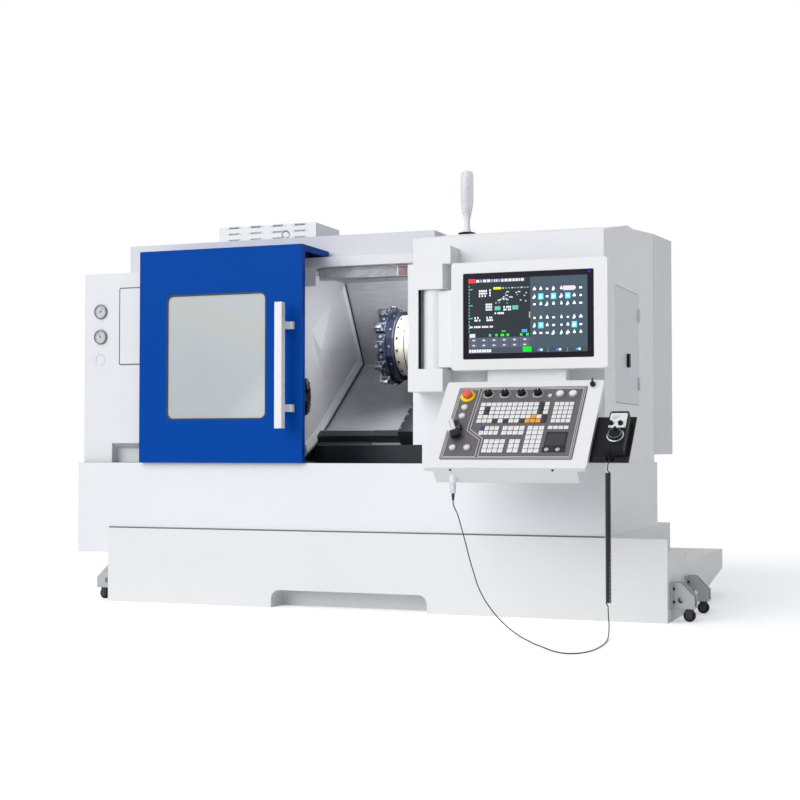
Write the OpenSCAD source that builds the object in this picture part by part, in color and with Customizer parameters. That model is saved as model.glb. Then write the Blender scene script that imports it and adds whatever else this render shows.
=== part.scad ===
// CNC turning lathe with a slant bed, a twelve-station turret and a swinging operator pendant.
// Frame: +X to the operator's right, +Y to the rear, +Z up, origin under the centre of the base.

/* [Base] */
// Overall width of the base
base_w = 2690; // [2500:10:2900]
// Front to rear depth of the base
base_d = 1480; // [1400:10:1560]
// Height of the base under the casing
base_h = 350; // [320:5:380]
// Height of the side deck at the front
deck_front_h = 270; // [240:5:300]
// Height of the side deck at the rear
deck_rear_h = 220; // [180:5:235]
// Length of the higher part of the side deck
deck_front_len = 440; // [350:5:550]
// Thickness of the front lip beside the deck
deck_lip = 20; // [12:1:30]
// Width of the fork pocket in the front
pocket_w = 760; // [600:10:900]
// Height of the fork pocket
pocket_h = 80; // [60:5:110]
// Depth of the fork pocket
pocket_d = 120; // [80:5:160]
// Corner radius of the fork pocket
pocket_r = 40; // [20:1:55]

/* [Lugs and wheels] */
// Reach of a lug from the base end
lug_reach = 100; // [90:1:120]
// Thickness of a lug cheek
lug_cheek = 12; // [8:1:16]
// Clear gap between the two cheeks
lug_gap = 50; // [42:1:60]
// Radius of the lifting hole
lug_hole_r = 13; // [10:0.5:15]
// Height of the lifting hole above the floor
lug_hole_z = 92; // [86:1:110]
// Radius of a transport wheel
wheel_r = 25.5; // [20:0.5:26]
// Width of a transport wheel
wheel_w = 24; // [18:1:28]
// Radius of the wheel axle
axle_r = 5; // [4:0.25:7]

/* [Casing] */
// Reach of the casing past the left end of the base
casing_over = 175; // [155:5:235]
// Right side of the casing
body_right = 1080; // [1020:5:1150]
// Top of the lower casing
casing_top = 662; // [640:2:680]
// Bottom of the overhang at the left end
overhang_z = 233; // [200:1:260]
// Thickness of the outer casing sheets
skin = 8; // [6:1:10]
// Set-back of the headstock cover front
cover_setback = 50; // [45:1:65]
// Top of the headstock cover
cover_top = 1580; // [1560:2:1600]
// Front edge height of the right cover
fascia_top = 1665; // [1640:5:1690]
// Height of the flat roof
roof_z = 1745; // [1725:5:1770]
// Rear plane of the covers
covers_rear = 336; // [332:1:345]
// Depth of the electrical cabinet
cabinet_d = 482; // [420:2:540]
// Bottom of the electrical cabinet
cabinet_z = 700; // [680:5:760]

/* [Sliding door] */
// Width of the door
door_w = 850; // [830:5:860]
// Height of the door
door_h = 1005; // [995:1:1012]
// Thickness of the door sheet
door_t = 5; // [3:1:7]
// Width of the window
window_w = 521; // [440:1:540]
// Height of the window
window_h = 589; // [500:1:640]
// Corner radius of the window
window_r = 32; // [15:1:60]
// Length of the handle bar
handle_len = 574; // [450:2:620]
// Section of the handle bar
handle_s = 38; // [28:1:46]
// Clear finger gap behind the handle bar
handle_gap = 56; // [45:1:65]

/* [Machining chamber] */
// Slant of the bed
bed_slant = 35; // [33:0.5:37]
// Height of the spindle axis
spindle_z = 975; // [965:1:985]
// Drop from the spindle axis to the bed guard
guard_drop = 298; // [290:1:306]
// Length of the bed guard up the slant
guard_len = 770; // [760:1:775]
// Thickness of the chamber sheets
sheet = 4; // [3:0.5:5]

/* [Spindle and chuck] */
// Radius of the spindle shaft
spindle_r = 75; // [65:1:85]
// Radius of the bar passage
bar_r = 31; // [26:0.5:32]
// Radius of the chuck
chuck_r = 100; // [94:1:106]
// Length of the chuck body
chuck_len = 90; // [80:1:100]
// Width of the jaw slots
jaw_slot = 26; // [20:1:30]

/* [Turret] */
// Distance of the turret axis from the spindle axis
turret_t = 450; // [445:1:465]
// Radius of the turret disc over its corners
disc_r = 174; // [164:1:180]
// Thickness of the turret disc
disc_w = 36; // [32:1:40]
// Number of tool stations
stations = 12; // [8:2:12]
// Radius over the tool holders
holder_r = 190; // [184:1:194]
// Reach of the tool holders in front of the disc
holder_reach = 46; // [42:1:50]
// Radius of the turret housing
housing_r = 150; // [140:1:152]

/* [Operator pendant] */
// Width of the monitor housing
monitor_w = 679; // [640:1:700]
// Height of the monitor housing
monitor_h = 460; // [430:2:490]
// Depth of the monitor housing
monitor_d = 90; // [80:1:100]
// Width of the keyboard frame
kb_w = 682; // [660:1:700]
// Length of the keyboard frame down its slope
kb_len = 490; // [480:1:500]
// Slope of the keyboard
kb_tilt = 47.6; // [46:0.2:49]
// Depth of the keyboard housing behind its frame
kb_depth = 70; // [55:1:80]
// Radius of the pendant pivot
pivot_r = 22; // [16:1:28]
// Width of the hand-wheel handset
mpg_w = 80; // [70:1:84]
// Length of the hand-wheel handset
mpg_len = 208; // [190:1:212]

/* [Hidden] */
$fn = 48;
// Small overcut so that cuts pass clear through
cut = 1;
// Gap between sliding faces
slide_gap = 0.3;
// Radial clearance of running fits
run_gap = 0.05;

base_front = -base_d / 2;
casing_left = -base_w / 2 - casing_over;
pocket_x = -100;
body_front = base_front + 10;
casing_rear = base_d / 2 - 330;
toe_y = base_d / 2 - 940;
toe_h = 125;

lug_y = [100, 450];
lug_plate = 12;
lug_top = 165;
lug_floor = 56;
lug_hole_x = 42;
wheel_x = 74;
wheel_z = 26;
fork_gap = 1.5;
fork_t = 5;
fork_half = 14;
lug_chamfer = 58;

cover_front = base_front + cover_setback;
cover_left = casing_left + 5;
chamber_left = -470;
cover_skin = 6;
recess_left = casing_left + 162;
recess_h = 94;
recess_d = 50;
gauge_x = casing_left + 95;
gauge_z = [1395, 1272];
plug_z = 1160;
bar_port = 14;
gauge_r = 36;
gauge_can_r = 26;
gauge_can = 30;
access_x = casing_left + 205;
access_w = 410;
access_z = 1138;
access_h = 365;
access_t = 4;

hood_left = casing_left + 108;
hood_front = base_front + 300;
roof_break = base_front + 478;
roof_flat = roof_break + 120;
roof_rise = 42;
cabinet_rise = 68;
cover_right_edge = 212;
notch_x = 43;
notch_z = 745;
service_y = base_front + 224;
service_w = 490;
service_z = 930;
service_h = 520;
service_gap = 2;
hinge_r = 6;
hinge_h = 30;
hinge_x = 4;
hinge_clear = 0.6;
hinge_rise = [70, 390];
seam_w = 6;
seam_d = 3;
latch_z = 1127;
latch_r = 9;

spindle_y = base_front + 260;
chuck_face = -440;
chuck_back = chuck_face - chuck_len;
wall_t = 10;
wall_face = chamber_left + wall_t;
rim_t = 10;
rim_w = 55;
facet_rise = 20;
wall_hole_r = chuck_r + 12;
flange_t = 15;
flange_r = 92;
head_right = chuck_back - flange_t - 5;
head_cap = 10;
head_len = 600;
head_left = head_right - head_cap - head_len;
head_half = 135;
head_rib = 14;
head_top = spindle_z + 175;
spindle_left = head_left - 120;
pulley_w = 60;
pulley_left = spindle_left + 15;
pulley_r = 120;
motor_pulley_r = 75;
motor_y = spindle_y + 420;
motor_z = 600;
motor_r = 130;
motor_len = 420;
motor_shaft_r = 24;
belt_t = 12;
belt_gap = 0.3;

jaw_depth = 22;
jaw_in = 34;
jaw_out = 92;
jaw_reach = 24;
jaw_w = 36;

bed_top = -(guard_drop + sheet);
guard_end = 30;
tray_z = casing_top - 102;
chamber_right = body_right - skin;
rail_w = 45;
rail_h = 45;
rail_low = 70;
rail_high = 690;
rail_x0 = -165;
rail_x1 = 985;
bed_right = 1000;
bed_rear = 330;

saddle_x0 = 84;
saddle_x1 = 520;
block_half = 50;
block_base = -guard_drop + 4;
saddle_base = -215;
saddle_top = -165;
gib_w = 8;
gib_h = 12;
slide_half = 180;
slide_top = -90;

disc_face = -97;
disc_back = disc_face + disc_w;
disc_gap = 3;
housing_x0 = disc_back + disc_gap;
housing_x1 = 300;
turret_shaft_r = 50;
turret_shaft = 45;
index_motor_r = 95;
index_motor_x1 = 440;
holder_w = 46;
holder_in = 104;
clamp_w = 34;
clamp_in = 156;
clamp_out = 187;
clamp_reach = 38;

beam_z = 1588;
beam_h = 46;
beam_d = 70;
light_x0 = -360;
light_len = 450;
light_z = 1528;
light_h = 58;
light_d = 29.5;

door_left = -1170;
door_front = base_front - 15;
door_z = casing_top + slide_gap;
door_side = 34;
door_hem = 40;
cap_rear = hood_front - 10;
cap_h = 28;
window_x = 147;
window_z = 202;
pane_lap = 15;
pane_t = 6;
handle_x = door_left + door_w - 77;
handle_z = 820;
post_r = 17;
post_foot = 40;
post_z = [93, 472];

bracket_x = 240;
bracket_w = 160;
bracket_d = 140;
bracket_z = 975;
bracket_h = 557;
mouth_z = 1074;
mouth_h = 346;
spine_w = 48;
pivot_x = 345;
pivot_y = base_front - 65;
arm_r = 54;
arm_half = 45;
arm_x1 = 520;
monitor_x = 464;
monitor_z = 1060;
monitor_front = pivot_y - arm_half - monitor_d;
screen_inset = 53;
screen_gap = 0.5;
screen_t = 5;
kb_left = 440;
kb_top_y = base_front - 170;
kb_top_z = 1012;
kb_frame = 20;
kb_inset = 40;
socket_x = 558;
socket_y = kb_top_y - 285;
socket_z = 590;
socket_r = 14;
overlay_x = 62;
overlay_b = 38;
overlay_w = 556;
overlay_h = 407;
overlay_t = 3;
key_h = 3;
knob_x = [200, 273, 345, 415];
knob_b = 82;
knob_r = 17;
stem_r = 5;
estop_x = 110;
estop_b = 91;
estop_r = 21;
estop_stem_r = 13;
estop_collar_r = 32;
collar_h = 5;
press = 4;
push_x = [510, 565];
push_b = 86;
push_r = 19;
push_cap_r = 15;
holder_plate = 8;
holder_n = -30;
holder_x1 = 837;
holder_b0 = 185;
holder_b1 = 427;
mpg_x = 742;
mpg_b = 208;
mpg_h = 58;
mpg_gland_x = 765;
mpg_gland_n = -8;
dial_b = 342;
dial_r = 30;
selector_x = [755, 794];
selector_b = 279;
selector_r = 10;

coil_x = 1203;
coil_y = kb_top_y - 300;
coil_r = 11.5;
coil_top = 632;
coil_bottom = 112;
cord_r = 2.5;
cord_sides = 8;
plug_top = socket_z;
plug_end = 517;
tail_route = [[1205, -284, 689], [1205, -289, 683], [1204, -296, 670], [1203, -300, 650],
  [1203, -300, 632]];
lead_route = [[1203, -300, 112], [1203, -300, 100], [1205, -308, 76], [1212, -333, 47],
  [1221, -375, 24], [1231, -430, 9], [1240, -490, 3.4], [1248, -550, 3], [1253, -620, 3],
  [1256, -690, 3], [1254, -755, 3], [1246, -815, 3], [1230, -860, 3],
  [1202, -888, 3], [1168, -882, 3], [1130, -850, 3], [1090, -795, 3],
  [1050, -735, 3], [1005, -670, 3], [955, -585, 3.4], [905, -510, 7], [855, -450, 20],
  [810, -410, 41], [771, -380, 66], [735, -352, 95], [703, -330, 128], [673, -314, 175],
  [650, -300, 228], [631, -294, 282], [615, -290, 337], [596, -287, 400], [579, -285, 455],
  [565, -285, 485], [559, -285, 500], [558, -285, 508], [558, -285, 517]];

// Point on the slant: t runs up the slant from the spindle axis, n stands off it
function slant_pt(t, n) = [
  spindle_y + t * cos(bed_slant) - n * sin(bed_slant),
  spindle_z + t * sin(bed_slant) + n * cos(bed_slant)];
function dir(a, b) = (b - a) / norm(b - a);
function left(v) = [-v[1], v[0]];
// Corner of a folded sheet's second face, mitred at the fold
function mitre(p, i, t) =
  i == 0 ? p[0] + t * left(dir(p[0], p[1]))
  : i == len(p) - 1 ? p[i] + t * left(dir(p[i - 1], p[i]))
  : let (a = left(dir(p[i - 1], p[i])), b = left(dir(p[i], p[i + 1]))) p[i] + t * (a + b) / (1 + a * b);
// Outline of a sheet of thickness t folded along the points p
function fold(p, t) = concat(p, [for (i = [len(p) - 1:-1:0]) mitre(p, i, t)]);

chamber_line = [
  [hood_front, cover_top - sheet],
  [slant_pt(guard_len, -guard_drop)[0] - 257, cover_top - sheet],
  slant_pt(guard_len, -guard_drop),
  slant_pt(guard_end, -guard_drop)];

module block(x0, x1, y0, y1, z0, z1) {
  translate([x0, y0, z0])
    cube([x1 - x0, y1 - y0, z1 - z0]);
}

// Extrudes an outline drawn in Y and Z along X
module along_x(x0, x1) {
  translate([x0, 0, 0])
    rotate([90, 0, 90])
      linear_extrude(x1 - x0)
        children();
}

// Extrudes an outline drawn in X and Z along Y
module along_y(y0, y1) {
  translate([0, y1, 0])
    rotate([90, 0, 0])
      linear_extrude(y1 - y0)
        children();
}

module on_slant() {
  translate([0, spindle_y, spindle_z])
    rotate([bed_slant, 0, 0])
      children();
}

// Keyboard plane: x from its left edge, y up the slope from its top edge, z out of its face
module on_keyboard() {
  translate([kb_left, kb_top_y, kb_top_z])
    rotate([kb_tilt, 0, 0])
      children();
}

// Rod about the X axis at the spindle height
module spindle_rod(r, x0, x1) {
  translate([x0, spindle_y, spindle_z])
    rotate([0, 90, 0])
      cylinder(r = r, h = x1 - x0);
}

// Rod about the turret axis
module turret_rod(r, x0, x1) {
  on_slant()
    translate([x0, turret_t, 0])
      rotate([0, 90, 0])
        cylinder(r = r, h = x1 - x0);
}

module round_rect(w, h, r) {
  translate([r, 0])
    square([w - 2 * r, h]);
  translate([0, r])
    square([w, h - 2 * r]);
  for (x = [r, w - r], y = [r, h - r])
    translate([x, y])
      circle(r);
}

module base_chassis() {
  color("gainsboro")
  difference() {
    union() {
      block(-base_w / 2, body_right, base_front, base_d / 2, 0, base_h);
      block(body_right, base_w / 2, base_front, base_front + deck_lip, 0, base_h);
      block(body_right, base_w / 2, base_front, base_front + deck_front_len, 0, deck_front_h);
      block(body_right, base_w / 2, base_front, base_d / 2, 0, deck_rear_h);
    }
    along_y(base_front - cut, base_front + pocket_d) {
      translate([pocket_x - pocket_w / 2, -pocket_h])
        round_rect(pocket_w, 2 * pocket_h, pocket_r);
    }
    // Underside of the side deck rises to the rear
    along_x(body_right, base_w / 2 + cut)
      polygon([[toe_y, 0], [toe_y, -cut], [base_d / 2 + cut, -cut], [base_d / 2 + cut, toe_h]]);
  }
}

// One lug with its wheel fork, drawn at the right end and at the floor
module lug() {
  cheek_out = lug_gap / 2 + lug_cheek;
  difference() {
    union() {
      block(0, lug_plate, -cheek_out - 14, cheek_out + 14, lug_floor, lug_top);
      for (s = [-1, 1])
        along_y(s * (lug_gap + lug_cheek) / 2 - lug_cheek / 2, s * (lug_gap + lug_cheek) / 2 + lug_cheek / 2)
          polygon([[0, lug_floor], [0, lug_top], [lug_reach - lug_chamfer, lug_top],
            [lug_reach, lug_top - lug_chamfer], [lug_reach, lug_floor]]);
      block(0, lug_reach, -cheek_out, cheek_out, lug_floor, lug_floor + 8);
      for (s = [-1, 1])
        along_y(s * (wheel_w / 2 + fork_gap + fork_t / 2) - fork_t / 2,
          s * (wheel_w / 2 + fork_gap + fork_t / 2) + fork_t / 2) {
          translate([wheel_x, wheel_z])
            circle(fork_half);
          translate([wheel_x - fork_half, wheel_z])
            square([2 * fork_half, lug_floor - wheel_z + cut]);
        }
      translate([wheel_x, 0, wheel_z])
        rotate([90, 0, 0])
          cylinder(r = axle_r, h = wheel_w + 2 * fork_gap + 2 * fork_t, center = true);
    }
    translate([lug_hole_x, 0, lug_hole_z])
      rotate([90, 0, 0])
        cylinder(r = lug_hole_r, h = lug_gap + 4 * lug_cheek, center = true);
  }
}

// Places its child at a lug station: side is 1 at the right end and -1 at the left
module at_lug(side, row) {
  translate([side * base_w / 2, base_front + lug_y[row], 0])
    rotate([0, 0, side > 0 ? 0 : 180])
      children();
}

module lifting_lugs() {
  color("whitesmoke")
    for (side = [-1, 1], row = [0, 1])
      at_lug(side, row)
        lug();
}

module caster_wheel(side, row) {
  color([0.06, 0.06, 0.07])
    at_lug(side, row)
      translate([wheel_x, 0, wheel_z])
        rotate([90, 0, 0])
          rotate_extrude()
            polygon([[axle_r + run_gap, -wheel_w / 2], [wheel_r - 3, -wheel_w / 2],
              [wheel_r, -wheel_w / 2 + 3], [wheel_r, wheel_w / 2 - 3], [wheel_r - 3, wheel_w / 2],
              [axle_r + run_gap, wheel_w / 2]]);
}

module slant_bed() {
  foot = slant_pt(guard_end, bed_top);
  head = slant_pt(guard_len - 35, bed_top);
  color("dimgray") {
    difference() {
      along_x(wall_face, bed_right)
        polygon([[foot[0], base_h], foot, head, [bed_rear, head[1]], [bed_rear, base_h]]);
      for (i = [0:3])
        block(wall_face + 80 + i * 350, wall_face + 330 + i * 350, foot[0] - cut, bed_rear + cut,
          base_h + 60, base_h + 260);
    }
    on_slant()
      for (t = [rail_low, rail_high])
        block(rail_x0, rail_x1, t - rail_w / 2, t + rail_w / 2, bed_top - cut, bed_top + rail_h);
  }
}

module lower_casing() {
  end = -base_w / 2;
  color("white") {
    block(casing_left, body_right, body_front, body_front + skin, base_h, casing_top);
    block(casing_left, end, body_front, body_front + skin, overhang_z, base_h);
    block(casing_left, casing_left + skin, body_front, casing_rear, overhang_z, casing_top);
    block(end - skin, end, body_front, casing_rear, overhang_z, base_h);
    block(casing_left, end, body_front, casing_rear, overhang_z, overhang_z + skin);
    block(casing_left, end, casing_rear - skin, casing_rear, overhang_z, base_h);
    block(body_right - skin, body_right, body_front, casing_rear, base_h, casing_top);
    block(casing_left, body_right, casing_rear - skin, casing_rear, base_h, casing_top);
  }
}

module headstock_cover() {
  color("whitesmoke")
  difference() {
    union() {
      difference() {
        block(cover_left, chamber_left, cover_front, covers_rear, casing_top, cover_top);
        block(cover_left + cover_skin, chamber_left + cut, cover_front + cover_skin,
          covers_rear - cover_skin, casing_top - cut, cover_top - cover_skin);
      }
      block(recess_left - cover_skin, chamber_left, cover_front, cover_front + recess_d + cover_skin,
        casing_top, casing_top + recess_h + cover_skin);
    }
    along_x(recess_left, chamber_left + cut)
      polygon([[cover_front - cut, casing_top - cut], [cover_front + recess_d, casing_top - cut],
        [cover_front + recess_d, casing_top + recess_h - recess_d / 2],
        [cover_front - cut, casing_top + recess_h]]);
    for (z = gauge_z)
      translate([gauge_x, cover_front - cut, z])
        rotate([-90, 0, 0])
          cylinder(r = gauge_can_r + 1, h = cover_skin + 2 * cut);
    spindle_rod(bar_r + bar_port, cover_left - cut, cover_left + cover_skin + cut);
    translate([gauge_x, cover_front - cut, plug_z])
      rotate([-90, 0, 0])
        difference() {
          cylinder(r = 27, h = cut + 1.5);
          cylinder(r = 25, h = cut + 1.5);
        }
  }
}

module access_panel() {
  color("whitesmoke")
    along_y(cover_front - access_t, cover_front)
      translate([access_x, access_z])
        round_rect(access_w, access_h, 8);
}

module pressure_gauges() {
  color("silver")
    for (z = gauge_z)
      translate([gauge_x, cover_front, z])
        rotate([90, 0, 0])
          rotate_extrude()
            polygon([[0, -gauge_can], [gauge_can_r, -gauge_can], [gauge_can_r, 0], [gauge_r, 0],
              [gauge_r, 6], [gauge_r - 3, 10], [gauge_r - 6, 10], [gauge_r - 7, 5], [0, 5]]);
}

module main_hood() {
  eye_x = -570;
  eye_y = hood_front + 40;
  eye_r = 17;
  wire = 4;
  color("gainsboro") {
    along_x(hood_left, cover_right_edge)
      polygon(fold([[covers_rear, roof_z], [hood_front, roof_z], [hood_front, cover_top]], cover_skin));
    block(hood_left, hood_left + cover_skin, hood_front, covers_rear, cover_top, roof_z);
    translate([eye_x, eye_y, roof_z + eye_r + 8])
      rotate([90, 0, 25])
        rotate_extrude()
          translate([eye_r, 0])
            circle(wire);
    translate([eye_x, eye_y, roof_z - 2])
      cylinder(r = 11, h = 12);
  }
}

module vent_box() {
  x0 = hood_left + 317;
  w = 548;
  y0 = -90;
  d = 300;
  h = 127;
  slot_w = 96;
  slot_h = 9;
  color("white")
  difference() {
    block(x0, x0 + w, y0, y0 + d, roof_z, roof_z + h);
    block(x0 + cover_skin, x0 + w - cover_skin, y0 + cover_skin, y0 + d - cover_skin,
      roof_z - cut, roof_z + h - cover_skin);
    for (i = [0:3], j = [0:2])
      along_y(y0 - cut, y0 + cover_skin + cut)
        translate([x0 + 38 + i * 124, roof_z + 52 + j * 32])
          round_rect(slot_w, slot_h, slot_h / 2 - 0.1);
  }
}

module right_cover() {
  edge = [[body_front, casing_top], [body_front, fascia_top], [roof_break, roof_z], [roof_flat, roof_z],
    [covers_rear, roof_z + roof_rise]];
  color("whitesmoke")
  difference() {
    union() {
      along_x(cover_right_edge, body_right)
        polygon(fold(edge, -skin));
      along_x(body_right - skin, body_right)
        polygon(concat(edge, [[covers_rear, casing_top]]));
      along_x(cover_right_edge, cover_right_edge + skin)
        polygon([[roof_flat, roof_z - skin], [roof_flat, roof_z], [covers_rear, roof_z + roof_rise],
          [covers_rear, roof_z - skin]]);
      block(cover_right_edge, cover_right_edge + skin, body_front, body_front + 60, casing_top, fascia_top - 4);
      block(cover_right_edge + notch_x, cover_right_edge + notch_x + skin, body_front, body_front + 60,
        casing_top, notch_z + skin);
      block(cover_right_edge, cover_right_edge + notch_x + skin, body_front, body_front + 60,
        notch_z, notch_z + skin);
      for (z = hinge_rise)
        translate([body_right, service_y + service_w - hinge_r, service_z + z + hinge_h + slide_gap]) {
          translate([hinge_x, 0, 0])
            cylinder(r = hinge_r, h = hinge_h);
          cube([2.5, hinge_r + 24, hinge_h]);
        }
    }
    block(cover_right_edge - cut, cover_right_edge + notch_x, body_front - cut, body_front + 61,
      casing_top - cut, notch_z);
    block(body_right - skin - cut, body_right, service_y, service_y + service_w,
      service_z, service_z + service_h);
    block(cover_right_edge - cut, body_right + cut, covers_rear, covers_rear + skin, casing_top,
      roof_z + roof_rise + cut);
  }
}

module service_door() {
  hinge_y = service_y + service_w;
  color("gainsboro")
  difference() {
    union() {
      block(body_right - skin, body_right, service_y + service_gap, hinge_y - service_gap,
        service_z + service_gap, service_z + service_h - service_gap);
      for (z = hinge_rise)
        translate([body_right + hinge_x, hinge_y - hinge_r, service_z + z])
          cylinder(r = hinge_r, h = hinge_h);
    }
    translate([body_right - skin - cut, service_y + service_w / 2, latch_z])
      rotate([0, 90, 0])
        cylinder(r = latch_r + run_gap, h = skin + 2 * cut);
    for (z = hinge_rise)
      translate([body_right + hinge_x, hinge_y - hinge_r, service_z + z + hinge_h])
        cylinder(r = hinge_r + hinge_clear, h = hinge_h + 2 * slide_gap);
  }
}

module service_latch() {
  color([0.05, 0.05, 0.05])
    translate([body_right, service_y + service_w / 2, latch_z]) {
      translate([-skin - 6, 0, 0])
        rotate([0, 90, 0])
          cylinder(r = latch_r, h = skin + 8);
      translate([slide_gap, -14, -31])
        rotate([90, 0, 90])
          linear_extrude(12)
            round_rect(28, 62, 6);
    }
}

module electrical_cabinet() {
  x0 = hood_left;
  y1 = covers_rear + cabinet_d;
  color("gainsboro")
  difference() {
    along_x(x0, body_right)
      polygon([[covers_rear, cabinet_z], [y1, cabinet_z], [y1, roof_z + cabinet_rise],
        [covers_rear, roof_z + roof_rise]]);
    along_x(x0 + skin, body_right - skin)
      polygon([[covers_rear - cut, cabinet_z + skin], [y1 - skin, cabinet_z + skin],
        [y1 - skin, roof_z + cabinet_rise - skin], [covers_rear + skin, roof_z + roof_rise - skin],
        [covers_rear + skin, roof_z - skin], [covers_rear - cut, roof_z - skin]]);
    block(body_right - seam_d, body_right + cut, covers_rear - cut, covers_rear + seam_w,
      cabinet_z - cut, roof_z + cabinet_rise + cut);
  }
}

module door_beam() {
  color("white") {
    difference() {
      block(chamber_left, cover_right_edge, hood_front - beam_d, hood_front, beam_z, beam_z + beam_h);
      block(chamber_left - cut, cover_right_edge + cut, hood_front - beam_d + 5, hood_front - 5,
        beam_z + 5, beam_z + beam_h - 5);
    }
    block(chamber_left + 32, chamber_left + 98, hood_front - 45, hood_front - 39, beam_z - 86, beam_z);
    block(chamber_left + 32, chamber_left + 60, hood_front - 39, hood_front - 8, beam_z - 86, beam_z - 10);
  }
}

module work_light() {
  y0 = hood_front - 30;
  color("silver") {
    along_x(light_x0, light_x0 + light_len)
      polygon([[y0 + 8, light_z], [y0 + light_d - 4, light_z], [y0 + light_d, light_z + 8],
        [y0 + light_d, light_z + light_h], [y0, light_z + light_h], [y0, light_z + 8]]);
    for (x = [light_x0 + 60, light_x0 + light_len - 90])
      block(x, x + 30, y0, y0 + 24, light_z + light_h, beam_z);
  }
}

module chuck_wall() {
  p = chamber_line;
  low = [spindle_y + 80, casing_top + 30];
  a = [spindle_y + 395, spindle_z + 501];
  b = [spindle_y + 141, spindle_z + 326];
  c = [spindle_y + 290, spindle_z + 89];
  d = [spindle_y + 540, spindle_z + 263];
  peak = [spindle_y + 218, spindle_z + 237];
  front = body_front + 80;
  color("silver")
  difference() {
    union() {
      along_x(chamber_left, wall_face)
        polygon([[front, casing_top + 2], low, mitre(p, 3, sheet), mitre(p, 2, sheet), mitre(p, 1, sheet),
          [front, cover_top]]);
      along_x(wall_face, wall_face + rim_t)
        polygon(fold([p[1] - [30, 1], p[1] - [1, 2], p[2] - [3, 1], p[3] + [0, 3], low + [0, 6]], -rim_w));
      // Low pressed facets between four corners and an off-centre peak
      polyhedron(
        points = [each [for (q = [a, b, c, d]) [wall_face, q[0], q[1]]], [wall_face + facet_rise, peak[0], peak[1]],
          each [for (q = [a, b, c, d]) [wall_face - 2, q[0], q[1]]]],
        faces = [[0, 4, 1], [1, 4, 2], [2, 4, 3], [3, 4, 0], [5, 6, 7, 8], [0, 1, 6, 5],
          [1, 2, 7, 6], [2, 3, 8, 7], [3, 0, 5, 8]]);
    }
    spindle_rod(wall_hole_r, chamber_left - cut, wall_face + rim_t + cut);
  }
}

module chamber_back() {
  color("slategray")
  difference() {
    along_x(wall_face, chamber_right)
      polygon(fold(chamber_line, sheet));
    on_slant()
      for (t = [rail_low, rail_high])
        block(rail_x0 - cut, chamber_right + cut, t - rail_w / 2 - cut, t + rail_w / 2 + cut,
          bed_top - cut, bed_top + sheet + cut);
  }
}

module chip_tray() {
  heel = slant_pt(guard_end, -guard_drop);
  color([0.08, 0.1, 0.16])
    along_x(wall_face, chamber_right)
      polygon(fold([[body_front + skin, casing_top - 7], [body_front + skin, tray_z + 40],
        [spindle_y + 60, tray_z], [spindle_y + 150, tray_z], [heel[0], tray_z + 40], [heel[0], heel[1] - 3]],
        sheet));
}

module headstock() {
  color("lightsteelblue")
  difference() {
    union() {
      block(head_left, head_right - head_cap, spindle_y - head_half, spindle_y + head_half, base_h, head_top);
      spindle_rod(118, head_right - head_cap - cut, head_right);
      spindle_rod(118, head_left - head_cap, head_left + cut);
      for (i = [0:4])
        block(head_left + 60 + i * 110, head_left + 76 + i * 110, spindle_y - head_half - head_rib,
          spindle_y + head_half + head_rib, base_h, spindle_z - 60);
    }
    spindle_rod(spindle_r + run_gap, head_left - head_cap - cut, head_right + cut);
  }
}

module spindle_motor() {
  x1 = pulley_left + pulley_w + 40 + motor_len;
  color("darkslategray")
  difference() {
    union() {
      translate([pulley_left + pulley_w + 40, motor_y, motor_z])
        rotate([0, 90, 0])
          cylinder(r = motor_r, h = motor_len);
      block(pulley_left + pulley_w + 70, x1 - 30, motor_y - 110, motor_y + 110, base_h, motor_z - 60);
      translate([x1, motor_y, motor_z])
        rotate([0, 90, 0])
          cylinder(r = motor_r - 18, h = 50);
      block(pulley_left + pulley_w + 160, pulley_left + pulley_w + 300, motor_y - 60, motor_y + 60,
        motor_z + motor_r - 20, motor_z + motor_r + 50);
    }
    translate([pulley_left + pulley_w + 40 - cut, motor_y, motor_z])
      rotate([0, 90, 0])
        cylinder(r = motor_shaft_r + run_gap, h = 90);
  }
}

module motor_pulley() {
  color("dimgray")
    translate([pulley_left, motor_y, motor_z])
      rotate([0, 90, 0]) {
        cylinder(r = motor_pulley_r, h = pulley_w);
        cylinder(r = motor_shaft_r, h = pulley_w + 100);
      }
}

// Outline of a belt round two wheels at a and b with radii ra and rb, each grown by extra
function belt_loop(a, ra, b, rb, extra) =
  let (
    d = b - a,
    head = atan2(d[1], d[0]),
    lean = asin((ra - rb) / norm(d)),
    n = 24,
    s0 = head + 90 - lean,
    s1 = head + 270 + lean,
    e0 = head - 90 + lean,
    e1 = head + 90 - lean)
  concat(
    [for (i = [0:n]) let (q = s0 + (s1 - s0) * i / n) a + (ra + extra) * [cos(q), sin(q)]],
    [for (i = [0:n]) let (q = e0 + (e1 - e0) * i / n) b + (rb + extra) * [cos(q), sin(q)]]);

module drive_belt() {
  color([0.1, 0.1, 0.1])
    along_x(pulley_left + 8, pulley_left + pulley_w - 8)
      difference() {
        polygon(belt_loop([spindle_y, spindle_z], pulley_r, [motor_y, motor_z], motor_pulley_r,
          belt_t + belt_gap));
        polygon(belt_loop([spindle_y, spindle_z], pulley_r, [motor_y, motor_z], motor_pulley_r,
          belt_gap + 0.5));
      }
}

module spindle() {
  color("silver")
  difference() {
    union() {
      spindle_rod(spindle_r, spindle_left, chuck_back);
      spindle_rod(flange_r, chuck_back - flange_t, chuck_back);
      spindle_rod(pulley_r, pulley_left, pulley_left + pulley_w);
    }
    spindle_rod(bar_r, spindle_left - cut, chuck_back + cut);
  }
}

// Places its child for a jaw: x along the spindle, y across the jaw, z outwards from the axis
module at_jaw(i) {
  translate([0, spindle_y, spindle_z])
    rotate([90 + 120 * i, 0, 0])
      children();
}

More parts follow.
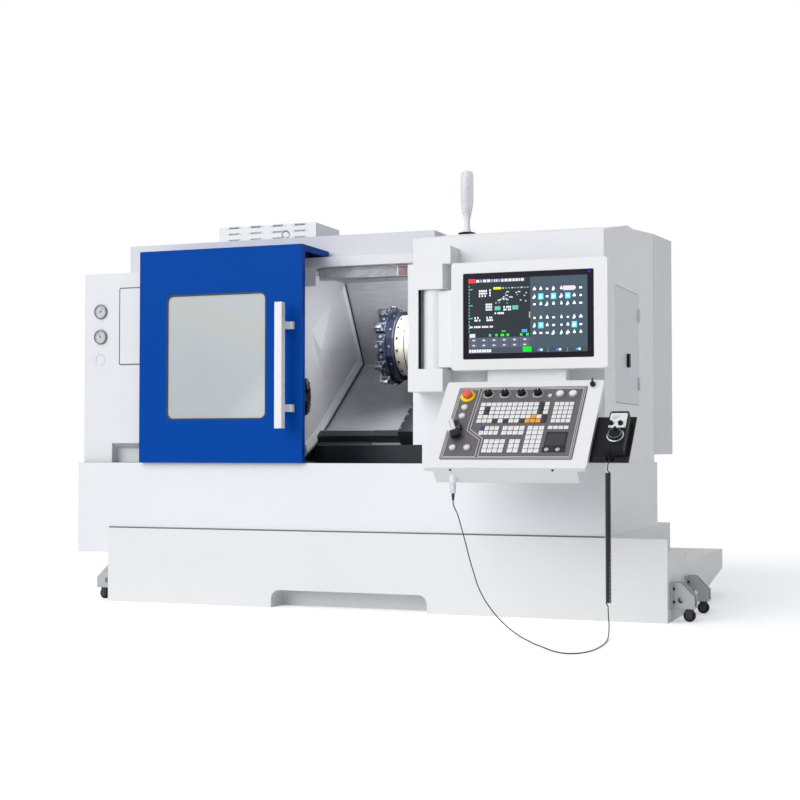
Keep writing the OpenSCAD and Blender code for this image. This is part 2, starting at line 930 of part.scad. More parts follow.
module chuck_body() {
  color("silver")
  difference() {
    translate([chuck_back, spindle_y, spindle_z])
      rotate([0, 90, 0])
        rotate_extrude()
          polygon([[bar_r, 0], [chuck_r - 4, 0], [chuck_r, 4], [chuck_r, chuck_len - 6],
            [chuck_r - 6, chuck_len], [bar_r, chuck_len]]);
    for (i = [0:2])
      at_jaw(i)
        block(chuck_face - jaw_depth, chuck_face + cut, -jaw_slot / 2, jaw_slot / 2, bar_r - 3, chuck_r + cut);
  }
}

module chuck_jaw(i) {
  root = jaw_slot / 2 - slide_gap;
  color("gray")
    at_jaw(i) {
      block(chuck_face - jaw_depth + slide_gap, chuck_face + 4, -root, root, jaw_in, jaw_out);
      along_y(-jaw_w / 2, jaw_w / 2)
        polygon([[chuck_face + slide_gap, jaw_in], [chuck_face + jaw_reach, jaw_in],
          [chuck_face + jaw_reach, jaw_in + 20], [chuck_face + jaw_reach * 0.7, jaw_in + 20],
          [chuck_face + jaw_reach * 0.7, jaw_in + 36], [chuck_face + jaw_reach * 0.45, jaw_in + 36],
          [chuck_face + jaw_reach * 0.45, jaw_out - 4],
          [chuck_face + slide_gap, jaw_out - 4]]);
    }
}

module saddle() {
  slot = rail_w / 2 + slide_gap;
  roof = bed_top + rail_h + slide_gap;
  color([0.16, 0.17, 0.2])
    on_slant()
      difference() {
        union() {
          block(saddle_x0, saddle_x1, rail_low - block_half, rail_high + block_half, saddle_base, saddle_top);
          block(saddle_x0, saddle_x1, rail_low - block_half, rail_low + block_half, block_base,
            saddle_base + cut);
          block(saddle_x0, saddle_x1, rail_high - block_half, rail_high + block_half, block_base,
            saddle_base + cut);
          for (x = [saddle_x0, saddle_x1 - gib_w])
            block(x, x + gib_w, rail_low - block_half, rail_high + block_half, saddle_top - cut,
              saddle_top + gib_h);
        }
        for (t = [rail_low, rail_high])
          block(saddle_x0 - cut, saddle_x1 + cut, t - slot, t + slot, block_base - cut, roof);
      }
}

module turret_housing() {
  side = gib_w + slide_gap;
  color([0.94, 0.92, 0.86])
  difference() {
    union() {
      on_slant()
        block(saddle_x0 + side, saddle_x1 - side, turret_t - slide_half, turret_t + slide_half,
          saddle_top + slide_gap, slide_top);
      turret_rod(housing_r, housing_x0, housing_x1);
      turret_rod(index_motor_r, housing_x1 - cut, index_motor_x1);
      on_slant()
        for (s = [-1, 1])
          block(saddle_x0 + side, housing_x1, turret_t + s * 90 - 12, turret_t + s * 90 + 12, slide_top - cut,
            -60);
    }
    turret_rod(turret_shaft_r + run_gap, housing_x0 - cut, housing_x0 + turret_shaft + cut);
    for (a = [0:45:315])
      on_slant()
        translate([housing_x0 - cut, turret_t, 0])
          rotate([a, 0, 0])
            translate([0, housing_r - 14, 0])
              rotate([0, 90, 0])
                cylinder(r = 5, h = 9);
  }
}

module turret_disc() {
  color([0.18, 0.22, 0.34])
    on_slant()
      translate([0, turret_t, 0])
        rotate([180 / stations, 0, 0])
          rotate([0, 90, 0]) {
            translate([0, 0, disc_face])
              cylinder(r = disc_r, h = disc_w, $fn = stations);
            translate([0, 0, disc_face - 24])
              cylinder(r = 66, h = 24 + cut);
            translate([0, 0, disc_back - cut])
              cylinder(r = turret_shaft_r, h = disc_gap + turret_shaft + cut);
          }
}

// A radial holder carries a square-shank tool, and an axial holder carries a boring bar
module tool_holder(boring) {
  shank = 20;
  seat = 28;
  proud = 14;
  bar = 15;
  tip = 205;
  front = disc_face - holder_reach;
  difference() {
    block(front + (boring ? proud : 0), disc_face, -holder_w / 2, holder_w / 2, holder_in, holder_r);
    if (!boring)
      block(front - cut, front + seat, -shank / 2, shank / 2, holder_in - cut, holder_r + cut);
    if (boring)
      translate([front - cut, 0, (holder_in + holder_r) / 2])
        rotate([0, 90, 0])
          cylinder(r = bar, h = holder_reach);
  }
  if (!boring)
    block(front - proud, front + seat, -shank / 2, shank / 2, holder_in + 6, tip);
  if (boring)
    translate([front - proud, 0, (holder_in + holder_r) / 2])
      rotate([0, 90, 0])
        cylinder(r = bar, h = holder_reach + proud - 4);
}

module tool_holders() {
  color([0.22, 0.25, 0.36])
    on_slant()
      translate([0, turret_t, 0])
        for (i = [0:stations - 1]) {
          rotate([i * 360 / stations, 0, 0])
            tool_holder(i % 3 == 2);
          // Clamp block on the land between two stations
          rotate([(i + 0.5) * 360 / stations, 0, 0])
            block(disc_face - clamp_reach, disc_face, -clamp_w / 2, clamp_w / 2, clamp_in, clamp_out);
        }
}

module signal_lamp() {
  color("whitesmoke")
    translate([300, -225, roof_z])
      rotate_extrude()
        polygon([[0, 0], [42, 0], [42, 10], [24, 14], [15, 34], [14, 68], [22, 105], [32, 150], [32, 286],
          [28, 302], [14, 308], [0, 308]]);
}

module pendant_bracket() {
  y0 = body_front - bracket_d;
  color("white")
  difference() {
    union() {
      block(bracket_x, bracket_x + bracket_w, y0, body_front, bracket_z, bracket_z + bracket_h);
      block(bracket_x + 17, bracket_x + bracket_w + 30, y0 + 20, body_front, bracket_z + bracket_h - cut,
        bracket_z + bracket_h + 78);
    }
    difference() {
      block(bracket_x + spine_w, bracket_x + bracket_w + cut, y0 - cut, body_front - 12, mouth_z,
        mouth_z + mouth_h);
      translate([pivot_x, pivot_y, mouth_z - cut])
        cylinder(r = pivot_r, h = mouth_h + 2 * cut);
    }
  }
}

module pendant_arm() {
  color("white")
  difference() {
    union() {
      translate([pivot_x, pivot_y, mouth_z + slide_gap])
        cylinder(r = arm_r, h = mouth_h - 2 * slide_gap);
      block(pivot_x, arm_x1, pivot_y - arm_half, pivot_y + arm_half, mouth_z + 6, mouth_z + mouth_h - 6);
    }
    translate([pivot_x, pivot_y, mouth_z - cut])
      cylinder(r = pivot_r + run_gap, h = mouth_h + 2 * cut);
  }
}

module monitor_housing() {
  back = monitor_front + monitor_d;
  color("whitesmoke")
  difference() {
    union() {
      along_y(monitor_front, back)
        translate([monitor_x, monitor_z])
          round_rect(monitor_w, monitor_h, 14);
      along_y(back - cut, back + 28)
        translate([monitor_x + 70, monitor_z + 40])
          round_rect(monitor_w - 140, monitor_h - 80, 20);
    }
    along_y(monitor_front - cut, monitor_front + screen_t + 1)
      translate([monitor_x + screen_inset, monitor_z + 46])
        round_rect(monitor_w - screen_inset - 58, monitor_h - 94, 6);
  }
}

module screen() {
  color([0.07, 0.06, 0.1])
    along_y(monitor_front + 1, monitor_front + screen_t + 1)
      translate([monitor_x + screen_inset + screen_gap, monitor_z + 46 + screen_gap])
        round_rect(monitor_w - screen_inset - 58 - 2 * screen_gap, monitor_h - 94 - 2 * screen_gap,
          6 - screen_gap);
}

module keyboard_housing() {
  color("white") {
    on_keyboard() {
      translate([0, -kb_len, -kb_frame])
        linear_extrude(kb_frame)
          round_rect(kb_w, kb_len, 10);
      translate([kb_inset, -kb_len, -kb_frame - kb_depth])
        cube([kb_w - 2 * kb_inset, kb_len - 12, kb_depth + cut]);
    }
    block(615, 958, kb_top_y + 5, kb_top_y + 50, kb_top_z - 52, monitor_z);
    translate([socket_x, socket_y, socket_z])
      cylinder(r = socket_r, h = 40);
  }
}

// A field of raised keys on the overlay
module keys(x0, b0, cols, rows, step_x, step_b, w, h) {
  for (i = [0:cols - 1], j = [0:rows - 1])
    translate([x0 + i * step_x, -b0 - j * step_b - h, overlay_t - cut])
      cube([w, h, key_h + cut]);
}

// Collar that guides a push button on the overlay
module collar(x, b, inner, outer, h) {
  translate([x, -b, overlay_t - cut])
    difference() {
      cylinder(r = outer, h = h + cut);
      translate([0, 0, cut])
        cylinder(r = inner + slide_gap, h = h + cut);
    }
}

module key_panel() {
  color("dimgray")
    on_keyboard() {
      translate([overlay_x, -overlay_b - overlay_h, 0])
        linear_extrude(overlay_t)
          round_rect(overlay_w, overlay_h, 6);
      keys(180, 131, 13, 5, 23, 23.8, 19, 18);
      keys(497, 132, 4, 5, 21, 23.8, 17, 18);
      keys(204, 266, 4, 2, 21, 26, 17, 20);
      keys(301, 266, 4, 2, 24, 26, 20, 20);
      keys(407, 266, 3, 6, 24, 25, 20, 20);
      keys(492, 266, 4, 1, 22, 22, 18, 16);
      keys(236, 340, 4, 3, 23, 25, 19, 20);
      keys(344, 340, 2, 3, 24, 25, 20, 20);
      translate([491, -378, overlay_t - cut])
        cube([88, 80, 2 + cut]);
      for (x = [506, 552])
        translate([x, -394, overlay_t - cut])
          cylinder(r = 9, h = key_h + cut);
      for (p = [[110, 157], [110, 207], [108, 385], [170, 385]])
        translate([p[0], -p[1], overlay_t - cut])
          cylinder(r = 13, h = 8 + cut);
      translate([108, -276, overlay_t - cut])
        cylinder(r = 17, h = 10 + cut);
      translate([108, -276, overlay_t + 8])
        rotate([0, 0, 14])
          translate([-11, -64, 0])
            cube([22, 88, 22]);
      collar(estop_x, estop_b, estop_stem_r, estop_collar_r, collar_h);
      for (x = push_x)
        collar(x, push_b, push_cap_r, push_r, collar_h + 3);
      translate([469, -95, overlay_t - cut])
        cylinder(r = 8, h = 7 + cut);
    }
}

module estop_button() {
  head = collar_h + slide_gap;
  color("tomato")
    on_keyboard()
      translate([estop_x, -estop_b, overlay_t + press + slide_gap])
        rotate_extrude()
          polygon([[0, 0], [estop_stem_r, 0], [estop_stem_r, head], [estop_r, head + 3], [estop_r, head + 11],
            [estop_r - 4, head + 17], [0, head + 20]]);
}

module override_knob(i) {
  color([0.06, 0.06, 0.06])
    on_keyboard()
      translate([knob_x[i], -knob_b, overlay_t + slide_gap]) {
        rotate_extrude()
          polygon([[0, 0], [knob_r + 3, 0], [knob_r + 3, 4], [knob_r, 7], [knob_r - 1, 19], [knob_r - 4, 22],
            [0, 22]]);
        translate([-2, 0, 20])
          cube([4, knob_r - 5, 4]);
      }
}

module push_button(i) {
  color("whitesmoke")
    on_keyboard()
      translate([push_x[i], -push_b, overlay_t + press + slide_gap])
        rotate_extrude()
          polygon([[0, 0], [push_cap_r, 0], [push_cap_r, 7], [push_cap_r - 2, 9], [0, 9.5]]);
}

module mpg_holder() {
  gap = 16;
  color([0.07, 0.07, 0.08])
    on_keyboard() {
      translate([kb_w - kb_inset, -holder_b1, holder_n - holder_plate])
        cube([holder_x1 - kb_w + kb_inset, holder_b1 - holder_b0, holder_plate]);
      translate([kb_w + 18, -holder_b1, holder_n - cut])
        cube([mpg_gland_x - gap - kb_w - 18, holder_b1 - mpg_b - mpg_len, 16 + cut]);
      translate([mpg_gland_x + gap, -holder_b1, holder_n - cut])
        cube([holder_x1 - mpg_gland_x - gap, holder_b1 - mpg_b - mpg_len, 16 + cut]);
    }
}

module mpg_handset() {
  color([0.06, 0.06, 0.07])
    on_keyboard() {
      translate([mpg_x, -mpg_b - mpg_len, holder_n])
        linear_extrude(mpg_h)
          round_rect(mpg_w, mpg_len, 12);
      translate([mpg_x + 5, -mpg_b - 92, holder_n + mpg_h - cut])
        linear_extrude(2 + cut)
          round_rect(mpg_w - 10, 80, 5);
      translate([mpg_gland_x, -mpg_b - mpg_len + cut, mpg_gland_n])
        rotate([90, 0, 0])
          cylinder(r = 6, h = 14 + cut);
    }
}

module mpg_dial() {
  color([0.1, 0.1, 0.11])
    on_keyboard()
      translate([mpg_x + mpg_w / 2, -dial_b, holder_n + mpg_h + slide_gap]) {
        rotate_extrude()
          polygon([[0, 0], [dial_r + 4, 0], [dial_r + 4, 3], [dial_r, 4], [dial_r, 14], [dial_r - 3, 17],
            [0, 17]]);
        translate([0, dial_r - 11, 16])
          cylinder(r = 5, h = 14);
      }
}

module mpg_selector(i) {
  color([0.08, 0.08, 0.08])
    on_keyboard()
      translate([selector_x[i], -selector_b, holder_n + mpg_h + 2 + slide_gap]) {
        cylinder(r = selector_r, h = 9);
        translate([-2.5, -selector_r + 1, 8])
          cube([5, 2 * selector_r - 2, 7]);
      }
}

module cable_coil() {
  color([0.05, 0.05, 0.05])
    translate([coil_x, coil_y, coil_bottom])
      cylinder(r = coil_r, h = coil_top - coil_bottom);
}

// Route held from the keyboard's top edge
function from_panel(route) = [for (p = route) p + [0, kb_top_y, 0]];
function unit(v) = v / norm(v);
// Direction of the route at ring i
function heading(p, i) =
  i == 0 ? unit(p[1] - p[0]) : i == len(p) - 1 ? unit(p[i] - p[i - 1]) : unit(p[i + 1] - p[i - 1]);
// Ring of a tube round route point i
function ring(p, i, r, n) =
  let (h = heading(p, i), s = unit(cross(h, [0.31, 0.95, 0.05])), u = cross(s, h))
  [for (k = [0:n - 1]) p[i] + r * (cos(360 * k / n) * s + sin(360 * k / n) * u)];

module tube(p, r, n) {
  m = len(p);
  points = [for (i = [0:m - 1]) each ring(p, i, r, n)];
  sides = [for (i = [0:m - 2], k = [0:n - 1])
    [i * n + k, i * n + (k + 1) % n, (i + 1) * n + (k + 1) % n, (i + 1) * n + k]];
  polyhedron(
    points = points,
    faces = concat([[for (k = [n - 1:-1:0]) k]], sides, [[for (k = [0:n - 1]) (m - 1) * n + k]]));
}

module cable_lead() {
  color([0.05, 0.05, 0.05]) {
    tube(from_panel(tail_route), cord_r, cord_sides);
    tube(from_panel(lead_route), cord_r, cord_sides);
  }
}

module cable_plug() {
  color("silver")
    translate([socket_x, socket_y, plug_end])
      rotate_extrude()
        polygon([[0, 0], [4, 0], [7, 28], [11, 29], [11, 46], [13, 47], [13, 62], [11, 63],
          [11, plug_top - plug_end], [0, plug_top - plug_end]]);
}

module door_panel() {
  x1 = door_left + door_w;
  top = door_z + door_h;
  color([0, 0.29, 0.64]) {
    difference() {
      union() {
        block(door_left, x1, door_front, door_front + door_t, door_z, top);
        block(door_left, door_left + door_t, door_front, door_front + door_hem, door_z, top);
        block(x1 - door_t, x1, door_front, door_front + door_side, door_z, top);
        block(x1 - 40, x1, door_front + door_side - door_t, door_front + door_side, door_z, top);
        block(door_left, x1, door_front, door_front + door_hem, door_z, door_z + door_t);
        block(door_left, x1, door_front, cap_rear, top - door_t, top);
        block(door_left, door_left + door_t, door_front, cap_rear, top - cap_h, top);
        block(x1 - door_t, x1, door_front, cap_rear, top - cap_h, top);
        block(door_left, x1, cap_rear - door_t, cap_rear, top - cap_h, top);
      }
      along_y(door_front - cut, door_front + door_t + cut)
        translate([door_left + window_x, door_z + window_z])
          round_rect(window_w, window_h, window_r);
    }
    for (x = [chamber_left + 20, x1 - 60])
      block(x, x + 40, hood_front - beam_d + 10, hood_front - 25, beam_z + beam_h + slide_gap, top - door_t + cut);
  }
}

module door_window() {
  color([0.72, 0.76, 0.8])
    along_y(door_front + door_t, door_front + door_t + pane_t)
      translate([door_left + window_x - pane_lap, door_z + window_z - pane_lap])
        round_rect(window_w + 2 * pane_lap, window_h + 2 * pane_lap, window_r + pane_lap);
}

module door_handle() {
  color("white") {
    translate([handle_x, door_front - handle_gap - handle_s, handle_z])
      linear_extrude(handle_len)
        translate([-handle_s / 2, 0])
          round_rect(handle_s, handle_s, 4);
    for (z = post_z) {
      block(handle_x - post_r, handle_x + post_r, door_front - handle_gap - cut, door_front,
        handle_z + z - post_r, handle_z + z + post_r);
      block(handle_x, handle_x + post_foot, door_front - 22, door_front, handle_z + z - post_r,
        handle_z + z + post_r);
    }
  }
}

base_chassis();
lifting_lugs();
caster_wheel(-1, 0);  // caster_wheel_1
caster_wheel(-1, 1);  // caster_wheel_2
caster_wheel(1, 0);  // caster_wheel_3
caster_wheel(1, 1);  // caster_wheel_4
slant_bed();
lower_casing();
headstock_cover();
access_panel();
pressure_gauges();
main_hood();
vent_box();
right_cover();
service_door();
service_latch();
electrical_cabinet();
door_beam();
work_light();
chuck_wall();
chamber_back();
chip_tray();
headstock();
spindle_motor();
motor_pulley();
drive_belt();
spindle();
chuck_body();
chuck_jaw(0);  // chuck_jaw_1
chuck_jaw(1);  // chuck_jaw_2
chuck_jaw(2);  // chuck_jaw_3
saddle();
turret_housing();
turret_disc();
tool_holders();
signal_lamp();
pendant_bracket();
pendant_arm();
monitor_housing();
screen();
keyboard_housing();
key_panel();
estop_button();
override_knob(0);  // override_knob_1
override_knob(1);  // override_knob_2
override_knob(2);  // override_knob_3
override_knob(3);  // override_knob_4
push_button(0);  // start_button
push_button(1);  // stop_button
mpg_holder();
mpg_handset();
mpg_dial();
mpg_selector(0);  // mpg_axis_knob
mpg_selector(1);  // mpg_step_knob
cable_coil();
cable_lead();
cable_plug();
door_panel();
door_window();
door_handle();
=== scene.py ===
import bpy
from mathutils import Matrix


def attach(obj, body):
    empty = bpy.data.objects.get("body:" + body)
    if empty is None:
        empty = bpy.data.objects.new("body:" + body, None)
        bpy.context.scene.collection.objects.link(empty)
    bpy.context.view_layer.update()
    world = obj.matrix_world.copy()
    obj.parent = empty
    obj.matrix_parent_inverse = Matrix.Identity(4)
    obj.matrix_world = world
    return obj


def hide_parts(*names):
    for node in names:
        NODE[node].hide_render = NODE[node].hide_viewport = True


bl_info = {
    "name": "Turning Lathe Dresser",
    "version": (1, 0, 0),
    "blender": (4, 5, 0),
    "location": "View3D > Sidebar > Lathe",
    "description": "Finishes and small fittings for a slant-bed turning lathe",
    "category": "Object",
}

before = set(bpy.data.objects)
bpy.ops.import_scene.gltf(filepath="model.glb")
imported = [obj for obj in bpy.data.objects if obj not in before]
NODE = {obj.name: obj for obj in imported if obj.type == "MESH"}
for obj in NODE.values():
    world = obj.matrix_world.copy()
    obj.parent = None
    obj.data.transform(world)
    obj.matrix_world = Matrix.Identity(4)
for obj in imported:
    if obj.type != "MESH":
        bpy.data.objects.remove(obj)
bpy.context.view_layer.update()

import math
import random

import bmesh
import bpy
from bpy.props import FloatProperty, FloatVectorProperty, IntProperty, PointerProperty
from mathutils import Matrix, Vector


def shift(x, y, z):
    return Matrix.Translation((x, y, z))


def turned(degrees, axis):
    return Matrix.Rotation(math.radians(degrees), 4, axis)


def facing(x, y, z, axis):
    """Frame at a point whose z looks along an axis."""
    return shift(x, y, z) @ Vector(axis).to_track_quat("Z", "Y").to_matrix().to_4x4()


WHITE = (0.86, 0.87, 0.88, 1.0)
BLACK = (0.012, 0.012, 0.014, 1.0)
CIRCLE = 2 * math.pi
HERE = Matrix.Identity(4)
FRONT, RIGHT, LEFT = (0, -1, 0), (1, 0, 0), (-1, 0, 0)

CAMERA_SPOT, CAMERA_TILT, CAMERA_TURN = (2.529, -6.993, 0.722), 91.909, 20.8
KEY_SPREAD, KEY_WAY = 50, (0.4, 0.76, -0.5)
# Area light that fills the chamber
FILL_POWER, FILL_SIZE = 5.0, 0.35
FILL_SPOT, FILL_AIM = (0.12, -0.38, 1.48), (-0.14, 0.05, 1.0)
FLOOR_REACH = 80

# Lays an outline's x and y along Y and Z, and its height along X
ACROSS = Matrix(((0, 0, 1, 0), (1, 0, 0, 0), (0, 1, 0, 0), (0, 0, 0, 1)))
# Keyboard plane: x from its left edge, y up the slope from its top edge, z out of its face
KEYBOARD = shift(0.44, -0.91, 1.012) @ turned(47.6, "X")
# Y and Z of the spindle's axis, and the slant of the bed about it: x along the axis, y up the slant
SPINDLE = (-0.48, 0.975)
SLANT = shift(0, *SPINDLE) @ turned(35, "X")
# Turret stations: y looks outwards and z runs from the disc's face to its back
STATION = SLANT @ shift(0, 0.45, 0) @ turned(90, "Y") @ turned(90, "Z")
OUTWARDS, OFF_FACE = (0, 1, 0), (0, 0, -1)
# Side and Y of the four lugs
LUGS = [(side, y) for side in (-1, 1) for y in (-0.64, -0.29)]
GAUGE_Z = (1.395, 1.272)
# Middle of the first air slot, and the pitch of the slots
VENT_X, VENT_Z, VENT_DX, VENT_DZ = -1.009, 1.806, 0.124, 0.032

# Lit area of the screen, and the first icons of its four groups as shares of the area
SCREEN_X, SCREEN_Y, SCREEN_Z = (0.541, 1.058), -0.9391, (1.13, 1.448)
ICON_U, ICON_V, ICON_DU, ICON_DV = (0.562, 0.786), (0.165, 0.545), 0.053, 0.1

# Fields of keys in millimetres: x, distance from the top edge, columns, rows, steps, cap width and height
KEY_FIELDS = (
    (180, 131, 13, 5, 23, 23.8, 19, 18),
    (497, 132, 4, 5, 21, 23.8, 17, 18),
    (204, 266, 4, 2, 21, 26, 17, 20),
    (301, 266, 4, 2, 24, 26, 20, 20),
    (407, 266, 3, 6, 24, 25, 20, 20),
    (492, 266, 4, 1, 22, 22, 18, 16),
    (236, 340, 4, 3, 23, 25, 19, 20),
    (344, 340, 2, 3, 24, 25, 20, 20),
)
ORANGE_KEYS = ((9, 4), (10, 4), (11, 4), (10, 3))
DARK_KEYS = ((3, 4), (5, 4), (8, 4), (1, 1), (1, 2), (11, 0), (11, 1), (11, 2), (12, 3), (12, 4))
# Tints of the caps that are not white, by field, column and row
CAP_TINTS = {
    **{(0, *key): (1.0, 0.4, 0.01, 1) for key in ORANGE_KEYS},
    **{(0, *key): (0.02, 0.02, 0.022, 1) for key in DARK_KEYS},
    (2, 0, 0): (0.03, 0.05, 0.16, 1),
}
KNOB_PLACES = [KEYBOARD @ shift(x, -0.082, 0) for x in (0.2, 0.273, 0.345, 0.415)]
# Handset: middle of its face, and the places of its two selectors
HANDSET_X, HANDSET_Y = 0.782, -0.26
SELECTORS = [KEYBOARD @ shift(x, -0.279, 0) for x in (0.755, 0.794)]

# Cord: place and top of the coil, its turns, points in a turn, and the bend at its ends
COIL_X, COIL_Y, COIL_TOP = 1.203, -1.21, 0.648
COIL_TURNS, COIL_POINTS, COIL_BEND, BEND_STEPS = 100, 14, 0.016, 8
PLUG = (0.558, -1.195, 0.517)
# Route of the cord in metres: from the gland, then from the foot of the coil to the plug
TAIL = ((1.205, -1.194, 0.689), (1.205, -1.2007, 0.6816), (1.2045, -1.2095, 0.6715), (1.2035, -1.2165, 0.66))
LEAD = (
    (1.205, -1.2225, 0.076), (1.212, -1.243, 0.047), (1.221, -1.285, 0.024), (1.231, -1.34, 0.009),
    (1.24, -1.4, 0.0034), (1.248, -1.46, 0.0028), (1.253, -1.53, 0.0028), (1.256, -1.6, 0.0028),
    (1.254, -1.665, 0.0028), (1.246, -1.725, 0.0028), (1.23, -1.77, 0.0028), (1.202, -1.798, 0.0028),
    (1.168, -1.792, 0.0028), (1.13, -1.76, 0.0028), (1.09, -1.705, 0.0028), (1.05, -1.645, 0.0028),
    (1.005, -1.58, 0.0028), (0.955, -1.495, 0.0034), (0.905, -1.42, 0.007), (0.855, -1.36, 0.02),
    (0.81, -1.32, 0.041), (0.771, -1.29, 0.066), (0.735, -1.262, 0.095), (0.703, -1.24, 0.128),
    (0.673, -1.224, 0.175), (0.65, -1.21, 0.228), (0.631, -1.204, 0.282), (0.615, -1.2, 0.337),
    (0.596, -1.197, 0.4), (0.579, -1.195, 0.455), (0.565, -1.195, 0.485), (0.559, -1.195, 0.5),
    (0.558, -1.195, 0.508), PLUG,
)


def colour_prop(name, text, value):
    return FloatVectorProperty(name=name, description=text, subtype="COLOR", size=3, min=0, max=1, default=value)


def length_prop(name, text, value):
    return FloatProperty(name=name, description=text, subtype="DISTANCE", unit="LENGTH", min=0, default=value)


class LatheFinishes(bpy.types.PropertyGroup):
    """Paint colours of the machine"""

    cover_white: colour_prop("Cover white", "Powder coat of the outer covers", (0.83, 0.845, 0.87))
    base_white: colour_prop("Base white", "Powder coat of the base", (0.81, 0.815, 0.825))
    panel_grey: colour_prop("Panel grey", "Powder coat of the hood and the rear panels", (0.72, 0.735, 0.78))
    door_blue: colour_prop("Door blue", "Powder coat of the sliding door", (0.0, 0.064, 0.375))
    chamber_light: colour_prop("Chuck wall grey", "Paint of the chamber wall round the chuck", (0.64, 0.65, 0.69))
    chamber_dark: colour_prop("Chamber grey", "Sheet of the chamber back", (0.6, 0.615, 0.66))
    turret_navy: colour_prop("Turret navy", "Blackened steel of the turret", (0.036, 0.048, 0.092))
    housing_cream: colour_prop("Housing cream", "Paint of the turret housing", (0.62, 0.59, 0.52))
    overlay_grey: colour_prop("Overlay grey", "Film of the operator panel", (0.125, 0.114, 0.121))


class LatheSizes(bpy.types.PropertyGroup):
    """Sizes of the small fittings"""

    edge_round: length_prop("Edge round", "Radius that light finds on a sheet's edge", 0.003)
    cord_d: length_prop("Cord diameter", "Diameter of the handset's cord", 0.0045)
    coil_r: length_prop("Coil radius", "Radius of the coil at the cord's middle", 0.0092)
    coil_pitch: length_prop("Coil pitch", "Rise of one turn of the coil", 0.0051)
    gasket_r: length_prop("Gasket radius", "Radius of the window's rubber edge", 0.004)
    print_w: length_prop("Print width", "Width of the lines on the operator panel", 0.0024)
    dial_marks: IntProperty(name="Dial marks", description="Marks round the hand wheel", default=50, min=10, max=100)


class StageLooks(bpy.types.PropertyGroup):
    """Studio light and view"""

    key_level: FloatProperty(name="Key level", description="Strength of the broad front light", default=1.66, min=0)
    sky_level: FloatProperty(name="Sky level", description="Strength of the even light", default=0.6, min=0)
    lens: FloatProperty(name="Lens", description="Focal length of the camera", subtype="DISTANCE_CAMERA", default=67.5)


# ---------------------------------------------------------------- nodes

def put(tree, socket, value):
    """Links an output to an input socket, or sets the socket to a plain value."""
    if isinstance(value, bpy.types.NodeSocket):
        tree.links.new(value, socket)
    else:
        socket.default_value = value


def feed(tree, made, *values, **named):
    """Fills a node's inputs by number and by name, with _ for a space."""
    for key, value in (*enumerate(values), *named.items()):
        put(tree, made.inputs[key.replace("_", " ") if isinstance(key, str) else key], value)


def node(tree, kind, *values, settings=None, **named):
    made = tree.nodes.new(kind)
    for key, value in (settings or {}).items():
        setattr(made, key, value)
    feed(tree, made, *values, **named)
    return made


def new_tree(name, kind, inputs, outputs):
    """A node group, with the outputs of its input node and the inputs of its output node."""
    tree = bpy.data.node_groups.new(name, kind)
    for label, socket, value in inputs:
        made = tree.interface.new_socket(label, in_out="INPUT", socket_type="NodeSocket" + socket)
        if value is not None:
            made.default_value = value
    for label, socket in outputs:
        tree.interface.new_socket(label, in_out="OUTPUT", socket_type="NodeSocket" + socket)
    return tree, tree.nodes.new("NodeGroupInput").outputs, tree.nodes.new("NodeGroupOutput").inputs


def noise(tree, coords, scale, detail=2.0, rough=0.5):
    return node(tree, "ShaderNodeTexNoise", Vector=coords, Scale=scale, Detail=detail, Roughness=rough).outputs["Fac"]


def spread(tree, value, low, high, source=(0.3, 0.7)):
    """Maps a source range to low and high."""
    return node(tree, "ShaderNodeMapRange", Value=value, From_Min=source[0], From_Max=source[1],
                To_Min=low, To_Max=high).outputs["Result"]


def sums(tree, how, a, b=0.0):
    return node(tree, "ShaderNodeMath", a, b, settings={"operation": how}).outputs[0]


def blend_colour(tree, fac, a, b):
    mix = node(tree, "ShaderNodeMix", fac, settings={"data_type": "RGBA"})
    # The mix node's colours come after its numbers and vectors
    put(tree, mix.inputs[6], a)
    put(tree, mix.inputs[7], b)
    return mix.outputs[2]


def scale_colour(tree, colour, factor):
    return node(tree, "ShaderNodeVectorMath", colour, settings={"operation": "SCALE"}, Scale=factor).outputs[0]


def object_place(tree):
    return node(tree, "ShaderNodeTexCoord").outputs["Object"]


def axes_of(tree, vector):
    return node(tree, "ShaderNodeSeparateXYZ", vector).outputs


def seen_rays(tree):
    """1 for the rays that the camera sees straight, mirrored or through glass."""
    path = node(tree, "ShaderNodeLightPath").outputs
    both = sums(tree, "MAXIMUM", path["Is Camera Ray"], path["Is Glossy Ray"])
    return sums(tree, "MAXIMUM", both, path["Is Transmission Ray"])


# ---------------------------------------------------------------- finishes

# Kinds of surface: stretch of the grain, scale of the clouds, detail of the grain
SURFACES = {
    "coat": ((1, 1, 1), 1.6, 2.0),
    "brushed": ((1, 14, 14), 3.0, 3.0),
    "turned": ((14, 1, 1), 6.0, 3.0),
    "casting": ((1, 1, 1), 7.0, 6.0),
    "moulded": ((1, 1, 1), 12.0, 1.0),
}
FINISHES = {}


